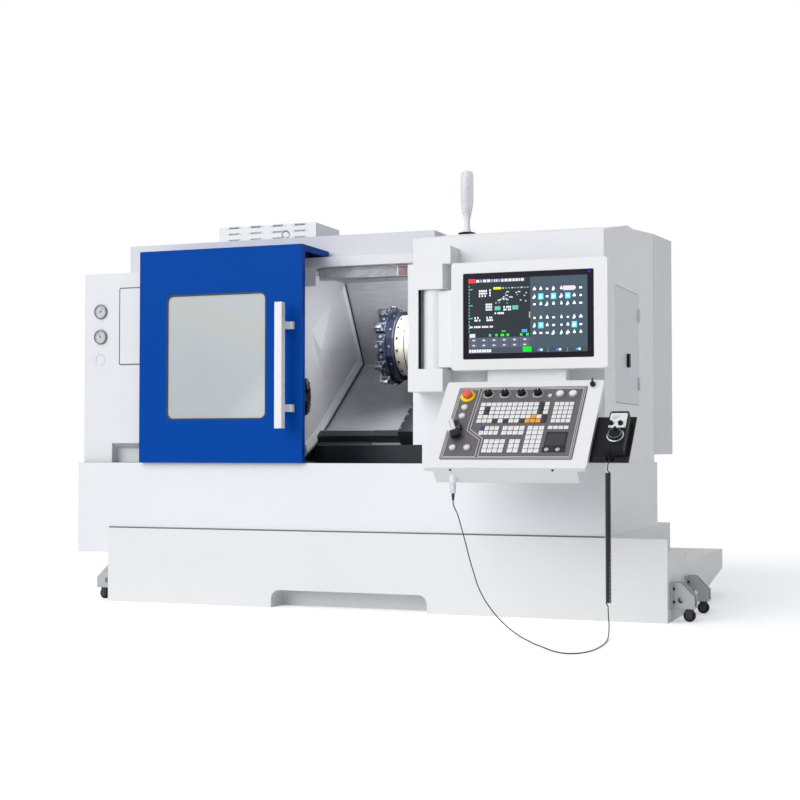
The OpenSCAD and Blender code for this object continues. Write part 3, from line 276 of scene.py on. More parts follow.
def surface_group(kind):
    """Group that varies a colour and a gloss over the surface, with a fine relief, rounded edges and a painted
    highlight along the edges.
    """
    name = "Surface " + kind
    if name in bpy.data.node_groups:
        return bpy.data.node_groups[name]
    stretch, clouds, fine_detail = SURFACES[kind]
    tree, given, out = new_tree(
        name, "ShaderNodeTree",
        (("Colour", "Color", (0.8, 0.8, 0.8, 1)), ("Gloss", "Float", 0.4), ("Grain Scale", "Float", 300.0),
         ("Tone", "Float", 0.06), ("Edge Light", "Float", 0.3), ("Edge Radius", "Float", 0.003)),
        (("Colour", "Color"), ("Roughness", "Float"), ("Height", "Float"), ("Normal", "Vector")))
    coords = object_place(tree)
    warped = node(tree, "ShaderNodeMapping", Vector=coords, Scale=stretch).outputs[0]
    fine = noise(tree, warped, given["Grain Scale"], fine_detail)
    cloud = noise(tree, coords, clouds, 4.0, 0.6)
    gloss_and_highlight_patches = noise(tree, coords, clouds * 9.0, 3.0, 0.7)
    rounded = node(tree, "ShaderNodeBevel", settings={"samples": 4}, Radius=given["Edge Radius"]).outputs[0]
    flat = node(tree, "ShaderNodeNewGeometry").outputs["Normal"]
    meet = node(tree, "ShaderNodeVectorMath", rounded, flat, settings={"operation": "DOT_PRODUCT"}).outputs["Value"]
    # Painted highlight: the colour turns pale grey along the edges, in patches, where light would catch a rounded edge.
    edge = sums(tree, "MULTIPLY", spread(tree, meet, 1.0, 0.0, (0.75, 0.99)), given["Edge Light"])
    patchy_edge_highlight = sums(tree, "MULTIPLY", edge, spread(tree, gloss_and_highlight_patches, 0.4, 1.0))
    down = sums(tree, "SUBTRACT", 1.0, given["Tone"])
    toned = scale_colour(tree, given["Colour"], spread(tree, cloud, down, 1.0, (0.25, 0.75)))
    spotted = scale_colour(tree, toned, spread(tree, fine, down, 1.0, (0.2, 0.8)))
    put(tree, out["Colour"], blend_colour(tree, patchy_edge_highlight, spotted, (0.92, 0.93, 0.95, 1)))
    put(tree, out["Roughness"], sums(tree, "ADD", given["Gloss"], spread(tree, gloss_and_highlight_patches, -0.05, 0.07)))
    put(tree, out["Height"], fine)
    put(tree, out["Normal"], rounded)
    return tree


def finish(name, colour, gloss=0.4, kind="coat", grain=420.0, tone=0.05, relief=0.05, edge=0.25, edge_r=0.003,
           tinted=False, **shader):
    """A material of one surface kind, made once; tinted reads each face's own colour."""
    if name in FINISHES:
        return FINISHES[name]
    mat = FINISHES[name] = bpy.data.materials.new(name + "_finish")
    mat.use_nodes = True
    mat.diffuse_color = plain = (*colour[:3], 1.0)
    tree = mat.node_tree
    group = node(tree, "ShaderNodeGroup", settings={"node_tree": surface_group(kind)}, Colour=plain, Gloss=gloss,
                 Grain_Scale=grain, Tone=tone, Edge_Light=edge, Edge_Radius=edge_r)
    if tinted:
        tint = node(tree, "ShaderNodeAttribute", settings={"attribute_name": "tint"})
        put(tree, group.inputs["Colour"], tint.outputs["Color"])
    made = group.outputs
    bump = node(tree, "ShaderNodeBump", Strength=relief, Distance=0.001, Height=made["Height"], Normal=made["Normal"])
    feed(tree, tree.nodes["Principled BSDF"], Base_Color=made["Colour"], Roughness=made["Roughness"],
         Normal=bump.outputs["Normal"], **shader)
    return mat


def moulded(name, colour, gloss, grain=900.0, edge_r=0.0005, **more):
    """Plastic, rubber or film with no light on its edges."""
    return finish(name, colour, gloss, "moulded", grain, edge=0.0, edge_r=edge_r, **more)


def black_plastic():
    return finish("moulded_black", (0.014, 0.014, 0.016), 0.42, "moulded", 900.0, relief=0.12, edge=0.06,
                  edge_r=0.001, Specular_IOR_Level=0.1)


def black_screw():
    return finish("screw_black", (0.02, 0.02, 0.022), 0.35, "turned", 400.0, Metallic=0.6, edge_r=0.0006)


def print_white():
    return moulded("print_white", (0.8, 0.8, 0.82), 0.4, edge_r=0.0004)


def guard_finish(name):
    return finish(name, WHITE, 0.42, "moulded", 500.0, relief=0.1, tinted=True, edge=0.05, edge_r=0.001)


def node_of(mat, kind):
    return next(n for n in mat.node_tree.nodes if n.type == kind)


def lug_finish():
    """Grey lugs that turn black below a height above the floor."""
    low, high, split = BLACK, (0.46, 0.46, 0.48, 1), 0.0565
    mat = finish("lug_grey", high, 0.42, "moulded", 500.0)
    tree = mat.node_tree
    above = sums(tree, "GREATER_THAN", axes_of(tree, object_place(tree))["Z"], split)
    put(tree, node_of(mat, "GROUP").inputs["Colour"], blend_colour(tree, above, low, high))
    return mat


def key_cap_finish():
    """Moulded caps in their own tints, each with a small dark legend mark on its top."""
    mat = moulded("key_cap", WHITE, 0.35, edge_r=0.0006, tinted=True)
    tree = mat.node_tree
    place = axes_of(tree, node(tree, "ShaderNodeUVMap").outputs[0])
    near = [sums(tree, "LESS_THAN", sums(tree, "ABSOLUTE", sums(tree, "SUBTRACT", place[i], middle)), half)
            for i, middle, half in ((0, 0.42, 0.13), (1, 0.58, 0.05))]
    mark = sums(tree, "MULTIPLY", *near)
    tint = node_of(mat, "ATTRIBUTE").outputs["Color"]
    put(tree, node_of(mat, "GROUP").inputs["Colour"], blend_colour(tree, mark, tint, (0.12, 0.12, 0.14, 1)))
    return mat


def display_finish():
    """Lit fields of the screen in their own tints, with the fine lines of the panel."""
    mat = moulded("display_light", (0.1, 0.1, 0.1), 0.2, edge_r=0.0003, tinted=True, Specular_IOR_Level=0.1)
    tree = mat.node_tree
    lines = node(tree, "ShaderNodeTexWave", settings={"bands_direction": "Z"}, Vector=object_place(tree), Scale=260.0)
    level = spread(tree, lines.outputs["Fac"], 0.92, 1.0, (0.0, 1.0))
    glow = scale_colour(tree, node_of(mat, "ATTRIBUTE").outputs["Color"], level)
    feed(tree, tree.nodes["Principled BSDF"], Emission_Color=glow, Emission_Strength=0.6)
    return mat


def pane_finish():
    """Hazy safety glass with a painted reflection: paler to one lower corner, with a faint warm band."""
    mat = bpy.data.materials.new("window_glass")
    mat.use_nodes = True
    tree = mat.node_tree
    coords = object_place(tree)
    place = axes_of(tree, coords)
    haze = noise(tree, coords, 1.3, 1.0, 0.4)
    lean = sums(tree, "SUBTRACT", place["X"], place["Z"])
    rise = sums(tree, "ADD", place["Z"], sums(tree, "MULTIPLY", place["X"], 0.35))
    pale = blend_colour(tree, spread(tree, haze, 0.0, 1.0), (0.55, 0.595, 0.615, 1), (0.6, 0.64, 0.66, 1))
    # Painted reflection: a faint warm band across the pane, and the pane paler towards one lower corner.
    warm = sums(tree, "MULTIPLY", spread(tree, rise, 0.0, 0.5, (0.98, 1.06)),
                spread(tree, rise, 1.0, 0.0, (1.06, 1.16)))
    tinted = blend_colour(tree, warm, pale, (0.62, 0.62, 0.55, 1))
    bright = blend_colour(tree, spread(tree, lean, 0.0, 0.55, (-1.62, -1.5)), tinted, (0.74, 0.77, 0.78, 1))
    feed(tree, tree.nodes["Principled BSDF"], Base_Color=bright, Roughness=spread(tree, haze, 0.16, 0.26),
         Transmission_Weight=0.2, IOR=1.45)
    return mat


# ---------------------------------------------------------------- meshes

def added(name, data):
    """A new object in the scene."""
    obj = bpy.data.objects.new(name, data)
    bpy.context.scene.collection.objects.link(obj)
    return obj


def smooth(data):
    data.shade_smooth()
    data.set_sharp_from_angle(angle=math.radians(35))
    return data


class Shape:
    """Gathers the faces of one piece, with a tint for each part."""

    def __init__(self):
        self.bm = bmesh.new()
        self.tint = self.bm.loops.layers.float_color.new("tint")
        self.uv = self.bm.loops.layers.uv.new("UVMap")
        self.done = set()

    def _settle(self, tint, at):
        """Tints, unwraps and places the faces that are new."""
        fresh = [f for f in self.bm.faces if f not in self.done]
        verts = {v for f in fresh for v in f.verts}
        lo = [min(v.co[i] for v in verts) for i in range(2)]
        size = [max(max(v.co[i] for v in verts) - lo[i], 1e-9) for i in range(2)]
        for f in fresh:
            for loop in f.loops:
                loop[self.tint] = tint
                loop[self.uv].uv = [(loop.vert.co[i] - lo[i]) / size[i] for i in range(2)]
        bmesh.ops.transform(self.bm, matrix=at, verts=list(verts))
        self.done.update(fresh)

    def box(self, lo, hi, tint=WHITE, soft=0.0, at=HERE, steps=2):
        made = bmesh.ops.create_cube(self.bm, size=1.0)["verts"]
        for v in made:
            v.co = Vector([(lo[i] + hi[i]) / 2 + v.co[i] * (hi[i] - lo[i]) for i in range(3)])
        if soft:
            edges = list(dict.fromkeys(e for v in made for e in v.link_edges))
            bmesh.ops.bevel(self.bm, geom=edges, offset=soft, segments=steps, profile=0.5, affect="EDGES")
        self._settle(tint, at)

    def lathe(self, profile, tint=WHITE, at=HERE, sides=32):
        """Turns (radius, height) points about z; a profile that starts and ends at radius 0 is closed."""
        angles = [CIRCLE * k / sides for k in range(sides)]
        rings = []
        for r, z in profile:
            spots = [(r * math.cos(a), r * math.sin(a), z) for a in angles] if r > 1e-7 else [(0, 0, z)]
            rings.append([self.bm.verts.new(p) for p in spots])
        for a, b in zip(rings, rings[1:]):
            for k in range(sides):
                ring = [a[k % len(a)], a[(k + 1) % len(a)], b[(k + 1) % len(b)], b[k % len(b)]]
                corners = list(dict.fromkeys(ring))
                if len(corners) > 2:
                    self.bm.faces.new(corners)
        self._settle(tint, at)

    def screw(self, r, h, at=HERE, tint=WHITE, sides=18):
        """Cap screw with its socket, set a little into its seat."""
        seat, sunk = -0.0002, h * 0.45
        self.lathe(((0, seat), (0, sunk), (r * 0.52, sunk), (r * 0.56, h), (r * 0.88, h), (r, h * 0.86), (r, seat),
                    (0, seat)), tint, at, sides)

    def outline(self, points, low, high, tint=WHITE, at=HERE):
        """Plate with an outline of (x, y) points between two heights."""
        top = [self.bm.verts.new((x, y, high)) for x, y in points]
        base = [self.bm.verts.new((x, y, low)) for x, y in points]
        self.bm.faces.new(top)
        self.bm.faces.new(base[::-1])
        for k in range(len(points)):
            j = (k + 1) % len(points)
            self.bm.faces.new((top[j], top[k], base[k], base[j]))
        self._settle(tint, at)

    def mesh(self, mat):
        bmesh.ops.recalc_face_normals(self.bm, faces=self.bm.faces)
        data = bpy.data.meshes.new("part")
        self.bm.to_mesh(data)
        self.bm.free()
        data.materials.append(mat)
        return smooth(data)


def joined(meshes):
    """One mesh of several, with their finishes kept."""
    bm = bmesh.new()
    mats = []
    for data in meshes:
        mats += [m for m in data.materials if m not in mats]
        index = [mats.index(m) for m in data.materials]
        before = len(bm.faces)
        bm.from_mesh(data)
        bm.faces.ensure_lookup_table()
        for f in bm.faces[before:]:
            f.material_index = index[min(f.material_index, len(index) - 1)]
    out = bpy.data.meshes.new("part")
    bm.to_mesh(out)
    bm.free()
    for m in mats:
        out.materials.append(m)
    return out


def piece(name, body, slot, *meshes, replaces=()):
    """One piece of some meshes, which rides a body."""
    data = joined(meshes) if len(meshes) > 1 else meshes[0]
    data.name = name
    obj = added(name, data)
    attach(obj, body)
    if replaces:
        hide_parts(*replaces)
    return obj


def wear(mat, *nodes):
    """Gives CAD nodes a finish."""
    for n in nodes:
        NODE[n].data.materials.clear()
        NODE[n].data.materials.append(mat)


# ---------------------------------------------------------------- node trees that repeat and sweep

def maker_tree(name, *sockets):
    geometry = ("Geometry", "Geometry")
    return new_tree(name, "GeometryNodeTree", ((*geometry, None), *sockets, ("Finish", "Material", None)), (geometry,))


def close_tree(tree, result, given, out):
    """Makes the copies real and gives them the finish."""
    real = node(tree, "GeometryNodeRealizeInstances", result).outputs[0]
    coat = node(tree, "GeometryNodeSetMaterial", Geometry=real, Material=given["Finish"])
    put(tree, out["Geometry"], coat.outputs[0])
    return tree


def vector_of(tree, *values):
    return node(tree, "ShaderNodeCombineXYZ", *values).outputs[0]


def item_of(tree, given):
    return node(tree, "GeometryNodeObjectInfo", Object=given["Item"]).outputs["Geometry"]


def field_tree(name):
    """Repeats an item in columns and rows."""
    tree, given, out = maker_tree(name, ("Item", "Object", None), ("Columns", "Int", 3), ("Rows", "Int", 3),
                                  ("Step X", "Float", 0.02), ("Step Y", "Float", 0.02))
    steps = {"Columns": vector_of(tree, given["Step X"]), "Rows": vector_of(tree, 0.0, given["Step Y"])}
    across, down = (node(tree, "GeometryNodeMeshLine", Count=given[count], Offset=step).outputs[0]
                    for count, step in steps.items())
    rows = node(tree, "GeometryNodeInstanceOnPoints", Points=across, Instance=down).outputs[0]
    spots = node(tree, "GeometryNodeRealizeInstances", rows).outputs[0]
    copies = node(tree, "GeometryNodeInstanceOnPoints", Points=spots, Instance=item_of(tree, given)).outputs[0]
    return close_tree(tree, copies, given, out)


def round_tree(name):
    """Repeats an item round the z axis at a radius."""
    tree, given, out = maker_tree(name, ("Item", "Object", None), ("Count", "Int", 12), ("Radius", "Float", 0.02),
                                  ("Start", "Float", 0.0), ("Step", "Float", 0.5))
    points = node(tree, "GeometryNodePoints", Count=given["Count"]).outputs[0]
    index = node(tree, "GeometryNodeInputIndex").outputs[0]
    angle = sums(tree, "ADD", sums(tree, "MULTIPLY", index, given["Step"]), given["Start"])
    moved = node(tree, "GeometryNodeTransform", Geometry=item_of(tree, given),
                 Translation=vector_of(tree, 0.0, given["Radius"])).outputs[0]
    copies = node(tree, "GeometryNodeInstanceOnPoints", Points=points, Instance=moved,
                  Rotation=vector_of(tree, 0.0, 0.0, angle)).outputs[0]
    return close_tree(tree, copies, given, out)


def bead_tree(name):
    """Sweeps a round bead along the edges of its object, with rounded corners."""
    tree, given, out = maker_tree(name, ("Radius", "Float", 0.002), ("Corner", "Float", 0.01))
    line = node(tree, "GeometryNodeMeshToCurve", Mesh=given["Geometry"]).outputs[0]
    bend = node(tree, "GeometryNodeFilletCurve", settings={"mode": "POLY"}, Curve=line, Radius=given["Corner"],
                Limit_Radius=True, Count=8).outputs[0]
    ring = node(tree, "GeometryNodeCurvePrimitiveCircle", Resolution=10, Radius=given["Radius"]).outputs[0]
    tube = node(tree, "GeometryNodeCurveToMesh", Curve=bend, Profile_Curve=ring, Fill_Caps=True).outputs[0]
    return close_tree(tree, tube, given, out)


MAKERS = {"Field": field_tree, "Round": round_tree, "Bead": bead_tree}


def grown(maker, at=HERE, path=(), closed=True, **inputs):
    """Runs a node tree and returns the plain mesh that it makes, put in place."""
    tree = bpy.data.node_groups.get(maker) or MAKERS[maker](maker)
    data = bpy.data.meshes.new("path")
    if path:
        edges = [(i, i + 1) for i in range(len(path) - 1)] + ([(len(path) - 1, 0)] if closed else [])
        data.from_pydata(path, edges, [])
    base = added("maker", data)
    mod = base.modifiers.new("make", "NODES")
    mod.node_group = tree
    for socket in tree.interface.items_tree:
        label = socket.name.replace(" ", "_")
        if socket.in_out == "INPUT" and label in inputs:
            mod[socket.identifier] = inputs[label]
    base.update_tag()
    seen = base.evaluated_get(bpy.context.evaluated_depsgraph_get())
    made = bpy.data.meshes.new_from_object(seen)
    bpy.data.objects.remove(base)
    made.transform(at)
    return smooth(made)


def repeated(maker, shape, mat, runs=({},), **inputs):
    """Meshes of one shape as a node tree repeats it; each run adds its own place or inputs."""
    item = added("item", shape.mesh(mat))
    made = [grown(maker, Item=item, Finish=mat, **inputs, **run) for run in runs]
    bpy.data.objects.remove(item)
    return made


def at_each(places):
    return [{"at": at} for at in places]


def bead(path, radius, corner, mat, closed=True, at=HERE):
    return grown("Bead", at, path, closed, Radius=radius, Corner=corner, Finish=mat)


def rectangle(x0, x1, y, z0, z1):
    return [(x0, y, z0), (x1, y, z0), (x1, y, z1), (x0, y, z1)]


def beside(points, gap):
    """A line of points moved to its right by a gap, mitred at its corners."""
    out = []
    for i, p in enumerate(points):
        near = points[max(i - 1, 0):i + 2]
        runs = [(b - a).normalized() for a, b in zip(near, near[1:])]
        sides = [Vector((v.y, -v.x)) for v in runs]
        out.append(p + gap * sum(sides, Vector((0, 0))) / (1 + sides[0].dot(sides[1]) if len(sides) > 1 else 1))
    return out


def curve_through(points, steps):
    """Smooth points through a route, its ends included."""
    pts = [Vector(p) for p in points]
    out = []
    for i in range(len(pts) - 1):
        a, b = pts[max(i - 1, 0)], pts[i]
        c, d = pts[i + 1], pts[min(i + 2, len(pts) - 1)]
        for k in range(steps):
            t = k / steps
            out.append(0.5 * (2 * b + (c - a) * t + (2 * a - 5 * b + 4 * c - d) * t * t
                              + (3 * b - a - 3 * c + d) * t ** 3))
    return out + [pts[-1]]


# ---------------------------------------------------------------- operators

class PieceOperator:
    bl_options = {"REGISTER", "UNDO"}


class LATHE_OT_stage(PieceOperator, bpy.types.Operator):
    """Makes the camera, the pale floor and the soft light"""

    bl_idname = "lathe.stage"
    bl_label = "Stage"

    def execute(self, context):
        scene, looks = context.scene, context.scene.lathe_stage
        scene.view_settings.view_transform = "Standard"
        cam = scene.camera = added("camera", bpy.data.cameras.new("camera"))
        cam.data.lens = looks.lens
        cam.data.sensor_width = 36
        cam.data.clip_end = 200
        cam.location = CAMERA_SPOT
        cam.rotation_euler = (math.radians(CAMERA_TILT), 0, math.radians(CAMERA_TURN))
        self.floor()
        self.sky(scene, looks.sky_level)
        key = self.light("key_light", "SUN", looks.key_level, KEY_WAY)
        key.data.angle = math.radians(KEY_SPREAD)
        fill = self.light("chamber_light", "AREA", FILL_POWER, Vector(FILL_AIM) - Vector(FILL_SPOT))
        fill.data.size = FILL_SIZE
        fill.location = FILL_SPOT
        fill.visible_camera = False
        return {"FINISHED"}

    def light(self, name, kind, energy, way):
        lamp = added(name, bpy.data.lights.new(name, kind))
        lamp.data.energy = energy
        lamp.rotation_euler = Vector(way).to_track_quat("-Z", "Y").to_euler()
        return lamp

    def floor(self):
        """Pale floor, lifted where the camera sees it."""
        data = bpy.data.meshes.new("floor")
        r = FLOOR_REACH
        data.from_pydata([(-r, -r, 0), (r, -r, 0), (r, r, 0), (-r, r, 0)], [], [(0, 1, 2, 3)])
        floor = added("floor", data)
        mat = bpy.data.materials.new("floor_white")
        mat.use_nodes = True
        tree = mat.node_tree
        tree.nodes.remove(tree.nodes["Principled BSDF"])
        plain = node(tree, "ShaderNodeBsdfDiffuse", Color=(0.9, 0.9, 0.91, 1)).outputs[0]
        lift = node(tree, "ShaderNodeEmission", Strength=0.34).outputs[0]
        both = node(tree, "ShaderNodeAddShader", plain, lift).outputs[0]
        mix = node(tree, "ShaderNodeMixShader", seen_rays(tree), plain, both)
        put(tree, tree.nodes["Material Output"].inputs["Surface"], mix.outputs[0])
        data.materials.append(mat)

    def sky(self, scene, level):
        """Even light that falls off to the right, before a white backdrop."""
        world = scene.world = bpy.data.worlds.new("studio")
        world.use_nodes = True
        tree = world.node_tree
        even = tree.nodes["Background"]
        across = axes_of(tree, node(tree, "ShaderNodeTexCoord").outputs["Generated"])["X"]
        feed(tree, even, Color=(0.98, 0.99, 1.0, 1),
             Strength=spread(tree, across, level * 1.08, level * 0.58, (-0.3, 0.7)))
        white = node(tree, "ShaderNodeBackground", Color=(1, 1, 1, 1)).outputs[0]
        mix = node(tree, "ShaderNodeMixShader", seen_rays(tree), even.outputs[0], white)
        put(tree, tree.nodes["World Output"].inputs["Surface"], mix.outputs[0])


class LATHE_OT_cord(PieceOperator, bpy.types.Operator):
    """Makes the handset's cord: a coil that hangs, and a plain lead that loops over the floor to the keyboard"""

    bl_idname = "lathe.cord"
    bl_label = "Handset cord"

    def execute(self, context):
        sizes = context.scene.lathe_sizes
        coil = self.coil(sizes.coil_r, sizes.coil_pitch)
        route = curve_through([*TAIL, coil[0]], 6)[:-1] + coil + curve_through([coil[-1], *LEAD], 5)[1:]
        data = bpy.data.curves.new("handset_cord", "CURVE")
        data.dimensions = "3D"
        data.bevel_depth = sizes.cord_d / 2
        data.bevel_resolution = 2
        data.use_fill_caps = True
        spline = data.splines.new("POLY")
        spline.points.add(len(route) - 1)
        for point, p in zip(spline.points, route):
            point.co = (*p, 1)
        data.materials.append(moulded("cord_sheath", (0.012, 0.012, 0.013), 0.42, 1500.0, 0.0004))
        cord = added("handset_cord", data)
        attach(cord, "pendant")
        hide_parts("cable_coil", "cable_lead")
        self.plug()
        return {"FINISHED"}

    def coil(self, r, pitch):
        """Points of the coil: laid out flat as a slope with bent ends, then wound round its axis."""
        slope = math.atan2(pitch, CIRCLE * r)
        angles = [(math.pi / 2 - slope) * k / BEND_STEPS for k in range(BEND_STEPS + 1)]
        bend = [(COIL_BEND * (1 - math.cos(a)), COIL_BEND * math.sin(a)) for a in angles]
        arc_u, arc_z = COIL_BEND * (1 - math.sin(slope)), COIL_BEND * math.cos(slope)
        run = COIL_TURNS * CIRCLE * r - 2 * arc_u
        drop = run * math.tan(slope)
        count = COIL_TURNS * COIL_POINTS
        end_u, end_z = 2 * arc_u + run, COIL_TOP - 2 * arc_z - drop
        flat = [(u, COIL_TOP - z) for u, z in bend]
        flat += [(arc_u + run * k / count, COIL_TOP - arc_z - drop * k / count) for k in range(1, count)]
        flat += [(end_u - u, end_z + z) for u, z in reversed(bend)]
        wound = [(u / r - math.pi / 2, z) for u, z in flat]
        return [Vector((COIL_X + r * math.cos(a), COIL_Y + r * math.sin(a), z)) for a, z in wound]

    def plug(self):
        """Metal plug with grip rings above a ribbed boot."""
        at = shift(*PLUG)
        boot, shell = Shape(), Shape()
        ribs = [(0.0042 + 0.0028 * k / 9 + (0.0005 if k % 2 else 0.0), 0.001 + 0.0029 * k) for k in range(10)]
        boot.lathe(((0, 0), (0.0038, 0), *ribs, (0.007, 0.0285), (0, 0.0285)), at=at, sides=24)
        rings = [(0.0128 - (0.0007 if k % 2 else 0.0), 0.047 + 0.0015 * k) for k in range(11)]
        shell.lathe(((0, 0.0285), (0.01, 0.0285), (0.0108, 0.0295), (0.0108, 0.0455), (0.0118, 0.0465), *rings,
                     (0.0118, 0.063), (0.0106, 0.0638), (0.0106, 0.0729), (0, 0.0729)), at=at, sides=36)
        rubber = moulded("boot_rubber", (0.014, 0.014, 0.015), 0.5, edge_r=0.0004)
        metal = finish("plug_metal", (0.62, 0.62, 0.64), 0.3, "turned", 400.0, edge_r=0.0006, Metallic=0.9)
        return piece("cord_plug", "pendant", "plug_metal", boot.mesh(rubber), shell.mesh(metal),
                     replaces=("cable_plug",))


class LATHE_OT_covers(PieceOperator, bpy.types.Operator):
    """Finishes the base, the covers, the door beam and the running gear"""

    bl_idname = "lathe.covers"
    bl_label = "Base and covers"

    def execute(self, context):
        c, edge = context.scene.lathe_finishes, context.scene.lathe_sizes.edge_round
        for name, colour, gloss, nodes in (
            ("cover_white", c.cover_white, 0.38, ("lower_casing", "vent_box", "right_cover", "door_beam")),
            ("base_white", c.base_white, 0.42, ("base_chassis",)),
            ("cover_grey_white", [v * 0.96 for v in c.cover_white], 0.4, ("headstock_cover", "access_panel")),
            ("panel_grey", c.panel_grey, 0.42, ("main_hood", "electrical_cabinet", "service_door")),
        ):
            wear(finish(name, colour, gloss, edge_r=edge), *nodes)
        wear(lug_finish(), "lifting_lugs")
        tyre = finish("tyre_rubber", (0.007, 0.007, 0.008), 0.34, "moulded", 700.0, relief=0.1, edge=0.03, edge_r=0.001,
                      Specular_IOR_Level=0.2)
        wear(tyre, *("caster_wheel_%d" % k for k in range(1, 5)))
        wear(black_plastic(), "service_latch")
        for part in (self.lamp, self.vent, self.lifting_ring, self.seams, self.roof_web, self.gauges, self.axle_caps,
                     self.lug_bolts):
            part()
        return {"FINISHED"}

    def lamp(self):
        """Clear shell over a pale core on a black foot."""
        at = shift(0.3, -0.225, 1.745)
        clear = moulded("lamp_shell", (0.9, 0.91, 0.94), 0.12, 600.0, tone=0.03, Alpha=0.4)
        frost = moulded("lamp_core", (0.82, 0.83, 0.86), 0.35, 600.0)
        shell, core, foot = Shape(), Shape(), Shape()
        outer = ((0.023, 0.1052), (0.032, 0.15), (0.032, 0.286), (0.028, 0.302), (0.014, 0.308), (0, 0.308))
        inner = ((0, 0.305), (0.0128, 0.305), (0.0258, 0.2995), (0.0292, 0.285), (0.0292, 0.1505), (0.0205, 0.1056))
        shell.lathe((*outer, *inner, outer[0]), at=at)
        core.lathe(((0, 0.012), (0.0232, 0.012), (0.0148, 0.034), (0.014, 0.068), (0.0204, 0.101),
                    (0.023, 0.1045), (0.015, 0.1052), (0.011, 0.15), (0.011, 0.27), (0.008, 0.286),
                    (0, 0.288)), at=at)
        for k in range(4):
            z = 0.028 * k
            core.lathe(((0.0111, 0.165 + z), (0.015, 0.166 + z), (0.015, 0.169 + z), (0.0111, 0.17 + z)), at=at)
        foot.lathe(((0, 0), (0.042, 0), (0.042, 0.009), (0.039, 0.0112), (0.0238, 0.0122), (0, 0.0122)),
                   at=at, sides=36)
        for k in range(3):
            spot = Matrix.Rotation(2.1 * k + 0.5, 4, "Z") @ shift(0.031, 0, 0.0113)
            foot.screw(0.003, 0.002, at @ spot, sides=14)
        piece("signal_lamp_clear", "machine", "lamp_white", shell.mesh(clear), core.mesh(frost),
              foot.mesh(black_plastic()), replaces=("signal_lamp",))

    def vent(self):
        """Pressed lips over the air slots and the pale baffle behind them."""
        grey = finish("vent_lip", (0.78, 0.79, 0.82), 0.42, edge_r=0.001)
        lip, baffle = Shape(), Shape()
        lip.outline(((-0.0005, 0.0), (0.0045, 0.0), (0.0045, 0.0012), (0.001, 0.0046), (-0.0005, 0.005)),
                    -0.029, 0.029, at=turned(90, "Y") @ turned(90, "Z"))
        lips = repeated("Field", lip, grey, at=facing(VENT_X, -0.0901, VENT_Z, FRONT), Columns=4, Rows=3,
                        Step_X=VENT_DX, Step_Y=VENT_DZ)
        baffle.box((-1.086, -0.0835, 1.75), (-0.556, -0.082, 1.864), soft=0.0004)
        for k in range(3):
            z = 1.797 + VENT_DZ * k
            baffle.box((-1.08, -0.0845, z - 0.005), (-0.562, -0.0834, z - 0.001), soft=0.0003)
            for i in range(4):
                x = VENT_X + VENT_DX * i
                for side in (-1, 1):
                    x0, x1 = sorted((x + side * 0.027, x + side * 0.0482))
                    baffle.box((x0, -0.0902, z - 0.0002), (x1, -0.0832, z + 0.0092), soft=0.0003)
        piece("vent_lips", "machine", "panel_grey", *lips, baffle.mesh(grey))

    def lifting_ring(self):
        steel = finish("ring_steel", (0.42, 0.43, 0.47), 0.3, "turned", 300.0, edge=0.0, edge_r=0.0005, Metallic=1.0)
        turn, r, steps = math.radians(25), 0.017, 36
        loop = [(-0.57 + r * math.cos(a) * math.cos(turn), -0.4 + r * math.cos(a) * math.sin(turn),
                 1.77 + r * math.sin(a)) for a in (CIRCLE * k / steps for k in range(steps))]
        piece("lifting_ring", "machine", "gauge_metal", bead(loop, 0.0043, 0.0, steel))

    def seams(self):
        """Dark beads of painted shadow in the seams round the access panel and along the base, a black strip of painted
        shadow in the pendant's mouth, and the grommet of the bar port.
        """
        dark = moulded("seam_grey", (0.16, 0.165, 0.18), 0.6, 600.0, 0.0004)
        # Painted shadow: dark beads stand for the shade in the seams round the access panel and along the top of the
        # base.
        panel = bead(rectangle(-1.3195, -0.9005, -0.6902, 1.135, 1.506), 0.0026, 0.008, dark)
        base = bead([(-1.343, -0.733, 0.353), (1.078, -0.733, 0.353)], 0.0032, 0.0, dark, closed=False)
        ring = Shape()
        ring.lathe(((0.0425, -0.004), (0.0425, 0.0015), (0.0455, 0.003), (0.052, 0.0022), (0.0535, 0.0001),
                    (0.0455, 0.0001), (0.045, -0.004), (0.0425, -0.004)), at=facing(-1.515, *SPINDLE, LEFT), sides=40)
        # Painted shadow: a thin black strip in the pendant's mouth stands for the shade in its slot.
        ring.box((0.2881, -0.866, 1.0748), (0.2893, -0.834, 1.4192), soft=0.0003)
        piece("cover_seams", "machine", "black_plastic", panel, base, ring.mesh(black_plastic()))

    def roof_web(self):
        """Plate that closes the roof between the hood and the right cover."""
        web = Shape()
        web.outline(((-0.4395, 1.71), (-0.26, 1.74), (-0.26, 1.7447), (-0.4395, 1.7447)), 0.2086, 0.2117,
                    at=ACROSS)
        piece("roof_web", "machine", "panel_grey", web.mesh(FINISHES["panel_grey"]))

    def lug_bolts(self):
        """Black cap screws and washers on the plates of the lugs."""
        bolts = Shape()
        for side, y in LUGS:
            for dy in (-0.044, 0.044):
                for z in (0.085, 0.14):
                    at = facing(side * 1.357, y + dy, z, (side, 0, 0))
                    bolts.lathe(((0, 0.0016), (0.0062, 0.0016), (0.0066, 0.001), (0.0066, -0.0002), (0, -0.0002)),
                                at=at, sides=20)
                    bolts.screw(0.005, 0.0062, at @ shift(0, 0, 0.0016))
        piece("lug_bolts", "machine", "black_plastic", bolts.mesh(black_plastic()))

